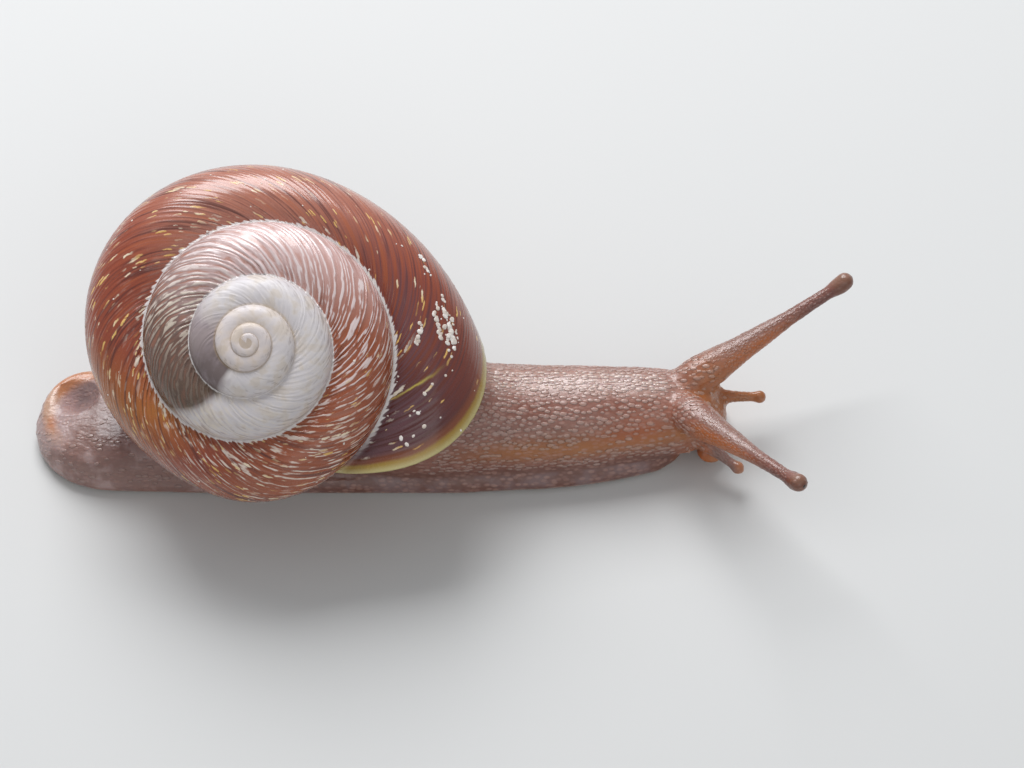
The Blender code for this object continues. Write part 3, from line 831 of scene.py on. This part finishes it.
def flesh_group():
    """Colour, roughness, wetness and fine relief of the skin, from where it lies on the body."""
    group = bpy.data.node_groups.new("Moist Flesh", "ShaderNodeTree")
    for label in ("Back", "Flank", "Fringe", "Feeler"):
        group.interface.new_socket(label, in_out="INPUT", socket_type="NodeSocketColor")
    group.interface.new_socket("Paleness and Highlight", in_out="INPUT", socket_type="NodeSocketFloat")
    group.interface.new_socket("Color", in_out="OUTPUT", socket_type="NodeSocketColor")
    for label in ("Roughness", "Wetness", "Height"):
        group.interface.new_socket(label, in_out="OUTPUT", socket_type="NodeSocketFloat")
    start = group.nodes.new("NodeGroupInput")
    given = {s.name: Field(group, s) for s in start.outputs if s.name}
    vector, (x, y, z) = place(group)
    cloud = noise(group, vector, 420.0, 4.0)
    fine = noise(group, vector, 2400.0, 3.0)
    away, pick, _ = cells_of(group, combine(group, x * 1.8, y * 3.4, z * 3.4))
    grain = away.ramp(0.62, 0.22) * (pick * 0.8 + 0.2)

    skin = mix(group, cloud.ramp(0.35, 0.65), given["Back"], (0.27, 0.115, 0.085))
    amber = z.band(4.3, 1.0) * x.ramp(3.0, 12.0) * y.ramp(1.0, -1.0)
    orange = z.band(5.2, 1.0) * x.band(19.5, 3.0) * y.ramp(1.0, -1.0)
    skin = mix(group, (amber * (cloud * 0.5 + 0.65)).clamped(), skin, given["Flank"])
    skin = mix(group, orange * 0.7, skin, (0.40, 0.085, 0.016))
    skin = mix(group, z.ramp(3.0, 1.9) * x.ramp(-12.0, -7.0) * 0.65, skin, (0.125, 0.052, 0.038))
    # Pale crest along the ridge: partly the ridge's own pale stripe, partly a painted wet highlight.
    crest_and_highlight = (y.band(0.95, 1.1) * z.ramp(5.0, 6.0) * x.ramp(7.0, 9.0) * x.ramp(23.0, 20.0)).clamped()
    skin = mix(group, crest_and_highlight * 0.55, skin, (0.56, 0.39, 0.33))
    grooves = (y.band(0.70, 0.09) + y.band(1.28, 0.09)) * z.ramp(5.5, 6.2) * x.ramp(8.0, 9.0)
    skin = mix(group, grooves.clamped() * x.ramp(22.0, 20.0) * 0.8, skin, (0.14, 0.018, 0.012))
    patches = noise(group, vector, 520.0, 3.0)
    foot = z.ramp(1.95, 1.70)
    skin = mix(group, foot * patches.ramp(0.42, 0.66) * 0.6, skin, given["Fringe"])
    skin = mix(group, z.ramp(0.70, 0.40) * 0.6, skin, (0.46, 0.38, 0.32))
    tail = x.ramp(-9.0, -14.0)
    broad = noise(group, vector, 260.0, 5.0)
    mauve = mix(group, broad.ramp(0.50, 0.58), (0.40, 0.285, 0.27), (0.235, 0.135, 0.115))
    skin = mix(group, tail * z.ramp(0.4, 1.0) * 0.85, skin, mauve)
    rim = distance_from(RIM_MIDDLE, (x, y))
    on_rim = rim.ramp(2.7, 3.5) * x.ramp(-18.0, -20.5) * z.ramp(2.0, 2.6) * y.ramp(-2.4, 0.2)
    rim_tone = mix(group, cloud.ramp(0.4, 0.6), (0.46, 0.17, 0.06), (0.50, 0.30, 0.20))
    skin = mix(group, on_rim * 0.9, skin, rim_tone)
    # The hollow under the curled rim goes from dusky mauve to near black toward the shell: the dark end is
    # painted shade in the recess.
    hollow = ((1.0 - on_rim) * x.band(-22.6, 1.7) * y.band(2.2, 1.5) * tail).clamped()
    hollow_tone_and_shade = mix(group, x.ramp(-23.6, -22.0), (0.19, 0.075, 0.066), (0.05, 0.009, 0.008))
    skin = mix(group, hollow * 0.85, skin, hollow_tone_and_shade)

    out = distance_from(FEELER_ROOT, (x, y, z))
    on_feeler = out.ramp(2.8, 5.2) * x.ramp(21.5, 23.6)
    # Feelers and knobs are grey-pink on top and orange or brown beneath, set by the way the skin faces as
    # if lit from above and behind: the paler top is partly painted highlight.
    normal = add_node(group, "ShaderNodeNewGeometry")
    facing = add_node(group, "ShaderNodeSeparateXYZ", Vector=Field(group, normal.outputs["Normal"]))
    underside_vs_top_sheen = (output(group, facing, 2) * 0.85 + output(group, facing, 1) * 0.5).ramp(0.70, 0.12)
    near = mix(group, underside_vs_top_sheen, (0.245, 0.125, 0.100), (0.46, 0.115, 0.016))
    far = mix(group, underside_vs_top_sheen, (0.20, 0.070, 0.050), given["Feeler"])
    feeler = mix(group, out.ramp(7.5, 12.5), near, far)
    knob = mix(group, underside_vs_top_sheen, (0.215, 0.098, 0.060), (0.165, 0.054, 0.026))
    feeler = mix(group, out.ramp(FEELER_KNOB, FEELER_KNOB + 1.0), feeler, knob)
    lower = z.ramp(4.0, 3.2) * x.ramp(24.2, 25.4)
    orange_share = (y.ramp(-0.5, 0.5) + x.ramp(26.4, 27.1) * 0.7 + z.ramp(2.1, 1.5)).clamped()
    lower_tone = mix(group, orange_share, (0.24, 0.125, 0.100), (0.42, 0.145, 0.040))
    feeler = mix(group, lower, feeler, lower_tone)
    skin = mix(group, on_feeler, skin, feeler)
    # Painted shade: a near-black line in the gap between the mouth lobes.
    mouth_slit_shade = y.band(0.75, 0.28) * z.ramp(2.0, 1.6) * z.ramp(0.3, 0.6) * x.ramp(24.6, 25.2)
    skin = mix(group, mouth_slit_shade.clamped() * 0.9, skin, (0.045, 0.012, 0.008))
    plain = tail * 0.6 + on_feeler * 0.7
    skin = mix(group, grain * (1.0 - plain).clamped() * 0.6, skin, (0.46, 0.26, 0.21))
    valley = x.band(25.0, 1.9) * y.band(1.5, 1.9) * z.band(4.7, 2.2) * 1.8
    skin = mix(group, valley.clamped() * 0.9, skin, (0.40, 0.120, 0.020))
    shade = x.band(-18.8, 1.9) * y.band(-1.4, 2.2) * z.ramp(1.6, 2.6)
    skin = mix(group, shade.clamped() * 0.8, skin, (0.085, 0.024, 0.019))
    # Paler granules: partly their own pale tops, partly a painted wet highlight, strongest on the ridge
    # rows.
    skin = mix(group, given["Paleness and Highlight"] * (fine * 0.7 + 0.6), skin, (0.62, 0.47, 0.42))
    collar = z.ramp(7.6, 8.6) * x.ramp(8.6, 7.0)
    skin = mix(group, collar * 0.8, skin, (0.26, 0.15, 0.06))

    end = group.nodes.new("NodeGroupOutput")
    put(group, end.inputs["Color"], skin)
    put(group, end.inputs["Roughness"], hollow * 0.3 + fine * 0.26 + 0.22)
    put(group, end.inputs["Wetness"], hollow * -0.4 + crest_and_highlight * 0.4 + 0.45)
    put(group, end.inputs["Height"], grain * 0.5 + fine * 0.7 + broad.ramp(0.47, 0.53) * tail * -0.5)
    return group


def flesh_material(name, settings, paleness_and_highlight, relief):
    made, tree, shader = new_material(name)
    group = tree.nodes.new("ShaderNodeGroup")
    group.node_tree = bpy.data.node_groups.get("Moist Flesh") or flesh_group()
    for label, value in (
        ("Back", settings.back), ("Flank", settings.amber),
        ("Fringe", settings.fringe), ("Feeler", settings.feeler),
    ):
        group.inputs[label].default_value = rgba(value)
    group.inputs["Paleness and Highlight"].default_value = paleness_and_highlight
    for given, target in (("Color", "Base Color"), ("Roughness", "Roughness"), ("Wetness", "Coat Weight")):
        put(tree, shader.inputs[target], Field(tree, group.outputs[given]))
    shader.inputs["Coat Roughness"].default_value = 0.16
    shader.inputs["Subsurface Weight"].default_value = 0.12
    shader.inputs["Subsurface Radius"].default_value = (1.0, 0.4, 0.2)
    shader.inputs["Subsurface Scale"].default_value = 0.6 * MM
    bump(tree, shader, Field(tree, group.outputs["Height"]), relief)
    return made


def eye_place(side):
    """The middle of an eye, and the way that it looks, outwards along its feeler."""
    low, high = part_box(f"eye_{side}")
    base_low, base_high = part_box(f"upper_tentacle_{side}_base")
    middle = (low + high) / 2
    return middle, (middle - (base_low + base_high) / 2).normalized()


def lower_tip(side):
    """The middle of the small knob that ends a lower feeler."""
    low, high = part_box(f"lower_tentacle_{side}")
    if side == "left":
        return Vector((high.x - 0.55 * MM, high.y - 0.5 * MM, low.z + 0.5 * MM))
    return Vector((high.x - 0.55 * MM, low.y + 0.5 * MM, low.z + 0.5 * MM))


def eased(values, low, high):
    share = np.clip((values - low) / (high - low), 0, 1)
    return share * share * (3 - 2 * share)


def mark_granules(mesh):
    """Stores how densely granules stand on each part of the skin, and which way they lie."""
    x, y, z = points_of(mesh).T / MM
    away = np.array((x, y, z)) - np.array(FEELER_ROOT)[:, None]
    out = np.sqrt(away[0] ** 2 + away[1] ** 2 + away[2] ** 2)
    feeler = eased(out, 3.0, 5.0) * eased(x, 21.5, 23.5)
    plain = np.exp(-((z - 4.2) / 0.8) ** 2) * (y < 0) * eased(x, 4, 10)
    upper = eased(z, 2.1, 2.7)
    valley = np.exp(-(((x - 25.0) / 2.0) ** 2) - ((y - 1.5) / 1.8) ** 2 - ((z - 4.8) / 1.8) ** 2)
    neck = eased(x, 2.0, 6.0) * upper * (1 - feeler) * (1 - 0.7 * plain) * (1 - 0.85 * valley)
    tail = eased(-x, 8.0, 12.0) * (upper * 0.22 + eased(z, 0.7, 1.3) * (1 - upper) * 0.34)
    hollow = np.hypot(x + 22.4, y - 2.0) < 2.9
    bare = (z < 2.2) | (out > FEELER_KNOB + 0.1)
    for side in ("left", "right"):
        tip = lower_tip(side) / MM
        bare |= (x - tip.x) ** 2 + (y - tip.y) ** 2 + (z - tip.z) ** 2 < 0.8
    marks = {
        "on_neck": neck, "on_tail": np.where(hollow & (z > 2.4), 0, tail),
        "on_feelers": np.where(bare, 0, feeler) * (1 - valley),
    }
    for name, values in marks.items():
        store_values(mesh, name, values)
    along_body = np.tile((1.0, 0.0, 0.0), (len(x), 1))
    outward = away.T / np.maximum(out, 0.1)[:, None]
    store_values(mesh, "lie", np.where((feeler > 0.3)[:, None], outward, along_body), "FLOAT_VECTOR")


def joined_flesh(voxel):
    """The flesh solids, feeler knobs and fold fills in one object, set to be fused into a skin."""
    work = bmesh.new()
    for node in FLESH:
        mesh = swollen_copy(node, SWELL)
        work.from_mesh(mesh)
        bpy.data.meshes.remove(mesh)
    for side in ("left", "right"):
        eye, aim = eye_place(side)
        add_ball(work, (eye - aim * KNOB_BACK) / MM, (KNOB_RADIUS,) * 3)
        add_ball(work, lower_tip(side) / MM, (LOWER_KNOB,) * 3)
    for centre, radii in FOLD_FILLS:
        add_ball(work, centre, radii)
    skin = new_object("skin", mesh_from(work, "skin"))
    fuse = skin.modifiers.new("fuse", "REMESH")
    fuse.mode = "VOXEL"
    fuse.voxel_size = voxel
    return skin


def soften(skin, iterations, group=""):
    """Smooths the skin, after whatever was already set on it."""
    smooth = skin.modifiers.new("soften", "SMOOTH")
    smooth.factor = 0.5
    smooth.iterations = iterations
    smooth.vertex_group = group
    apply_modifiers(skin)


def soften_foot(skin):
    """Smooths the lower tail and the edge of the foot further than the rest."""
    x, _, z = points_of(skin.data).T / MM
    on_tail = eased(-x, 9.0, 13.0) * eased(-z, -3.4, -2.4)
    on_foot = eased(-z, -1.9, -1.3) * eased(-x, -22.0, -19.0)
    weights = np.maximum(on_tail, on_foot)
    group = skin.vertex_groups.new(name="broad")
    for level in range(1, 9):
        chosen = np.flatnonzero(np.round(weights * 8) == level)
        group.add(chosen.tolist(), level / 8, "REPLACE")
    soften(skin, 60, group.name)
    skin.vertex_groups.clear()


class SNAIL_OT_skin(bpy.types.Operator):
    """One moist skin over the foot, tail, back, neck, head and feelers"""

    bl_idname = "snail.skin"
    bl_label = "Make Skin"

    def execute(self, context):
        settings = context.scene.snail_skin
        skin = joined_flesh(settings.detail)
        soften(skin, 6)
        soften_foot(skin)
        mesh = skin.data
        points = points_of(mesh) - normals_of(mesh) * (SWELL + settings.inset * 0.5)
        points[:, 2] = np.maximum(points[:, 2], 0.0)
        set_points(mesh, points)
        wear_one(mesh, flesh_material("skin_moist", settings, 0.0, 0.07 * MM))
        mesh.shade_smooth()
        mark_granules(mesh)
        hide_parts(*FLESH)
        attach(skin, "root")
        return {"FINISHED"}


# ---- Granules --------------------------------------------------------------------------------
def set_domes(tree, given, points, up, along, reach):
    """Ends the tree with a low dome on every point, turned and sized by the fields."""
    ball = add_node(
        tree, "GeometryNodeMeshUVSphere", Segments=given["Sides"], Rings=given["Rings"], Radius=1.0
    )
    smooth = add_node(tree, "GeometryNodeSetShadeSmooth", Geometry=output(tree, ball))
    turned = add_node(
        tree, "FunctionNodeAxesToRotation", {"primary_axis": "Z", "secondary_axis": "X"},
        Primary_Axis=up, Secondary_Axis=along,
    )
    copies = add_node(
        tree, "GeometryNodeInstanceOnPoints", Points=points, Instance=output(tree, smooth),
        Rotation=output(tree, turned), Scale=reach,
    )
    end_tree(tree, output(tree, copies), given["Material"])
    return tree


def dome_tree():
    """A dome on every point, with the point's own values."""
    tree, given = geometry_tree("Domes on Points", {
        "Points": "NodeSocketGeometry", "Sides": 8, "Rings": 6, "Material": "NodeSocketMaterial",
    })
    up, along, reach = (stored(tree, label, "FLOAT_VECTOR") for label in ("up", "along", "reach"))
    return set_domes(tree, given, given["Points"], up, along, reach)


def points_mesh(name, spots):
    """A mesh of loose points holding each dome's directions and reach."""
    mesh = bpy.data.meshes.new(name)
    mesh.from_pydata([spot for spot, _, _, _ in spots], [], [])
    for k, label in enumerate(("up", "along", "reach"), start=1):
        store_values(mesh, label, [tuple(spot[k]) for spot in spots], "FLOAT_VECTOR")
    return mesh


def domes(name, spots, material, sides, rings):
    tree = bpy.data.node_groups.get("Domes on Points") or dome_tree()
    return run_tree(
        name, tree, {"Sides": sides, "Rings": rings, "Material": material}, points_mesh(name, spots)
    )


def surface_of(name):
    mesh = bpy.data.objects[name].data
    return BVHTree.FromPolygons(
        [v.co for v in mesh.vertices], [tuple(p.vertices) for p in mesh.polygons]
    )


def strewn_tree():
    """Domes strewn over a surface, as densely as its stored marks say, lying the way that it stores."""
    tree, given = geometry_tree("Strewn Granules", {
        "Surface": "NodeSocketGeometry", "Mark": "NodeSocketString", "Spacing": 1.0, "Length": 1.0,
        "Width": 1.0, "Height": 1.0, "Sides": 7, "Rings": 4, "Seed": 0, "Material": "NodeSocketMaterial",
    })
    points = add_node(
        tree, "GeometryNodeDistributePointsOnFaces", {"distribute_method": "POISSON"},
        Mesh=given["Surface"], Distance_Min=given["Spacing"], Density_Max=given["Spacing"] ** -2.0 * 2.0,
        Density_Factor=stored(tree, given["Mark"]), Seed=given["Seed"],
    )
    chance = add_node(tree, "FunctionNodeRandomValue", {"data_type": "FLOAT"})
    chance.inputs[2].default_value = 0.55
    chance.inputs[3].default_value = 1.25
    size = Field(tree, chance.outputs[1])
    reach = combine(tree, given["Length"] * size, given["Width"] * size, given["Height"] * size)
    up = Field(tree, points.outputs["Normal"])
    lie = stored(tree, "lie", "FLOAT_VECTOR")
    return set_domes(tree, given, output(tree, points), up, lie, reach)


def ridge_spots(shuffled):
    """The rows of larger pale granules along the ridge of the neck."""
    skin = surface_of("skin")
    spots = []
    for middle in RIDGE_ROWS:
        x = RIDGE_START
        while x < RIDGE_END:
            long = shuffled.uniform(0.14, 0.42)
            y = middle + 0.015 * (x - RIDGE_START) + shuffled.uniform(-0.16, 0.16)
            hit, normal, _, _ = skin.ray_cast(Vector((x, y, 12.0)) * MM, Vector((0, 0, -1)))
            if hit is not None:
                reach = Vector((long, shuffled.uniform(0.09, 0.19), 0.12)) * MM
                spots.append((hit - normal * 0.04 * MM, normal, Vector((1, 0.03, 0.001)), reach))
            x += long * shuffled.uniform(1.8, 3.4)
    return spots


class SNAIL_OT_granules(bpy.types.Operator):
    """Elongated granules over the neck, tail and feelers, with larger ones along the ridge"""

    bl_idname = "snail.granules"
    bl_label = "Make Granules"

    def execute(self, context):
        settings = context.scene.snail_skin
        surface = bpy.data.objects["skin"].data
        tree = strewn_tree()
        # Each granule piece is made paler by its share: partly pale granule tops, partly painted wet
        # highlight.
        for part, share, paleness_and_highlight in (("neck", 1.0, 0.32), ("tail", 0.95, 0.12), ("feelers", 0.56, 0.10)):
            name = f"granules_{part}"
            piece = run_tree(name, tree, {
                "Mark": f"on_{part}", "Spacing": settings.granule_spacing * share,
                "Length": settings.granule_length * share, "Width": settings.granule_width * share,
                "Height": settings.granule_height * share, "Seed": SEED,
                "Material": flesh_material(name, settings, paleness_and_highlight, 0.03 * MM),
            }, surface.copy())
            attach(piece, "root")
        piece = domes(
            "granules_ridge", ridge_spots(random.Random(SEED)),
            flesh_material("granules_ridge", settings, 0.85, 0.03 * MM), 10, 6,
        )
        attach(piece, "root")
        return {"FINISHED"}


# ---- Eyes and specks -------------------------------------------------------------------------
def eye_material():
    made, tree, shader = new_material("eye_dark")
    vector, _ = place(tree)
    cloud = noise(tree, vector, 1800.0, 2.0)
    pupil = attribute(tree, "outward").ramp(0.30, 0.75)
    rim = mix(tree, cloud, (0.16, 0.060, 0.038), (0.22, 0.105, 0.075))
    put(tree, shader.inputs["Base Color"], mix(tree, pupil * 0.92, rim, (0.022, 0.009, 0.007)))
    put(tree, shader.inputs["Roughness"], cloud * 0.1 + 0.16)
    shader.inputs["Coat Weight"].default_value = 0.5
    return made


class SNAIL_OT_eyes(bpy.types.Operator):
    """A dark glossy eye at the tip of each long feeler"""

    bl_idname = "snail.eyes"
    bl_label = "Make Eyes"

    def execute(self, context):
        material = eye_material()
        for side in ("left", "right"):
            middle, aim = eye_place(side)
            work = bmesh.new()
            bmesh.ops.create_icosphere(work, subdivisions=4, radius=EYE_RADIUS)
            bmesh.ops.translate(work, vec=middle - aim * EYE_SET_IN, verts=work.verts)
            mesh = mesh_from(work, f"eyeball_{side}")
            mesh.shade_smooth()
            mesh.materials.append(material)
            store_values(mesh, "outward", normals_of(mesh) @ np.array(aim))
            eye = new_object(f"eyeball_{side}", mesh)
            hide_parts(f"eye_{side}")
            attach(eye, "root")
        return {"FINISHED"}


def speck_material():
    made, tree, shader = new_material("speck_white")
    vector, _ = place(tree)
    cloud = noise(tree, vector, 1500.0, 3.0)
    tone = mix(tree, cloud.ramp(0.3, 0.7), (0.84, 0.80, 0.76), (0.60, 0.50, 0.42))
    put(tree, shader.inputs["Base Color"], tone)
    put(tree, shader.inputs["Roughness"], cloud * 0.25 + 0.5)
    bump(tree, shader, cloud, 0.04 * MM)
    return made


# Patches of worn white specks on the last whorl: turns back from the lip, place from seam (0) to widest
# edge (1), spread of both, clusters in the patch, specks in a cluster, radius of the largest in mm
SPECK_PATCHES = (
    (-0.1, 0.5, 0.02, 0.15, 9, 16, 0.2),
    (-0.05, 0.3, 0.03, 0.1, 12, 1, 0.2),
    (-0.5, 0.5, 0.3, 0.4, 50, 1, 0.1),
)
CLUSTER_TURNS, CLUSTER_SHARE = 0.003, 0.02  # spread of the specks in one cluster


def speck_spots(shuffled):
    """Specks on the shell, round cluster middles that are drawn at random about each patch's middle."""
    mesh = bpy.data.objects["shell_coil"].data
    growth, across = (
        read_values(mesh.attributes[name].data, "value") for name in ("growth_here", "across_here")
    )
    share = (across - SEAM_PLACE) / (WIDEST - SEAM_PLACE)
    points, normals = points_of(mesh), normals_of(mesh)
    spots, centres = [], []
    for turn, middle, turn_spread, spread, clusters, specks, largest in SPECK_PATCHES:
        for _ in range(clusters):
            centre = shuffled.gauss(turn, turn_spread), shuffled.gauss(middle, spread), largest
            centres.extend([centre] * specks)
    for turn, middle, largest in centres:
        here = min(shuffled.gauss(turn, CLUSTER_TURNS), -0.004)
        over = shuffled.gauss(middle, CLUSTER_SHARE)
        nearest = int(np.argmin(((growth - here) * 6) ** 2 + (share - over) ** 2))
        radius = largest * shuffled.uniform(0.3, 1.0) * MM
        reach = Vector((radius * shuffled.uniform(0.8, 1.5), radius, radius * 0.10 + 0.01 * MM))
        along = Vector((shuffled.uniform(-1, 1), shuffled.uniform(-1, 1), 0.1))
        normal = Vector(normals[nearest])
        aside = normal.cross(along).normalized() * shuffled.uniform(-0.16, 0.16) * MM
        spots.append((Vector(points[nearest]) + aside, normal, along, reach))
    return spots


class SNAIL_OT_specks(bpy.types.Operator):
    """White specks where the shell's skin is worn through"""

    bl_idname = "snail.specks"
    bl_label = "Make Specks"

    def execute(self, context):
        piece = domes("shell_specks", speck_spots(random.Random(SEED)), speck_material(), 9, 5)
        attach(piece, "root")
        return {"FINISHED"}


# ---- Stage -----------------------------------------------------------------------------------
CAMERA_TARGET = Vector((10.03, 5.47, 0.0)) * MM  # the floor point that the camera faces


def area_light(name, spot, aim, size, power, tint):
    data = bpy.data.lights.new(name, "AREA")
    data.size = size
    data.energy = power
    data.color = tint
    light = new_object(name, data)
    light.location = spot
    light.rotation_euler = (Vector(aim) - Vector(spot)).to_track_quat("-Z", "Y").to_euler()


class SNAIL_OT_stage(bpy.types.Operator):
    """Plain pale floor, soft lights and the camera"""

    bl_idname = "snail.stage"
    bl_label = "Make Stage"

    def execute(self, context):
        settings = context.scene.snail_stage
        made, _, shader = new_material("floor_pale")
        shader.inputs["Base Color"].default_value = rgba(settings.floor)
        shader.inputs["Roughness"].default_value = 0.75
        work = bmesh.new()
        bmesh.ops.create_grid(work, x_segments=1, y_segments=1, size=2.0)
        mesh = mesh_from(work, "floor")
        mesh.materials.append(made)
        floor = new_object("floor", mesh)

        world = bpy.data.worlds.new("soft_room")
        world.use_nodes = True
        backdrop = world.node_tree.nodes["Background"]
        backdrop.inputs["Color"].default_value = (0.86, 0.89, 0.93, 1.0)
        backdrop.inputs["Strength"].default_value = 0.5
        context.scene.world = world
        aim = (0.0, 0.0, 0.006)
        area_light("sky_behind", (-0.06, 0.22, 0.26), aim, 0.24, 1.35, (0.97, 0.98, 1.0))
        area_light("front_fill", (0.10, -0.30, 0.22), aim, 0.30, 0.2, (1.0, 0.97, 0.93))

        camera_data = bpy.data.cameras.new("camera")
        camera_data.lens = settings.lens
        camera_data.sensor_width = 36
        camera_data.clip_start = 0.01
        camera = new_object("camera", camera_data)
        back = Vector((0, -math.cos(settings.elevation), math.sin(settings.elevation)))
        camera.location = CAMERA_TARGET + back * settings.distance
        camera.rotation_euler = (math.pi / 2 - settings.elevation, 0, 0)
        context.scene.camera = camera
        context.scene.view_settings.view_transform = "Standard"
        return {"FINISHED"}


class SNAIL_PT_panel(bpy.types.Panel):
    """Lists the steps that build the snail"""

    bl_label = "Land Snail"
    bl_idname = "SNAIL_PT_panel"
    bl_space_type = "VIEW_3D"
    bl_region_type = "UI"
    bl_category = "Snail"

    def draw(self, context):
        for step in STEPS:
            self.layout.operator(step.bl_idname)
        for group in SETTINGS:
            settings = getattr(context.scene, group)
            box = self.layout.box()
            for name in settings.__annotations__:
                box.prop(settings, name)


STEPS = (
    SNAIL_OT_shell, SNAIL_OT_skin, SNAIL_OT_granules, SNAIL_OT_eyes,
    SNAIL_OT_specks, SNAIL_OT_stage,
)
SETTINGS = {
    "snail_shell": SnailShellSettings, "snail_skin": SnailSkinSettings, "snail_stage": SnailStageSettings,
}


def register():
    for kind in (*SETTINGS.values(), *STEPS, SNAIL_PT_panel):
        bpy.utils.register_class(kind)
    for name, kind in SETTINGS.items():
        setattr(bpy.types.Scene, name, bpy.props.PointerProperty(type=kind))


def unregister():
    for name in SETTINGS:
        delattr(bpy.types.Scene, name)
    for kind in reversed((*SETTINGS.values(), *STEPS, SNAIL_PT_panel)):
        bpy.utils.unregister_class(kind)


def main():
    register()
    bpy.ops.snail.shell()
    bpy.ops.snail.skin()
    bpy.ops.snail.granules()
    bpy.ops.snail.eyes()
    bpy.ops.snail.specks()
    bpy.ops.snail.stage()


if __name__ == "__main__":
    main()
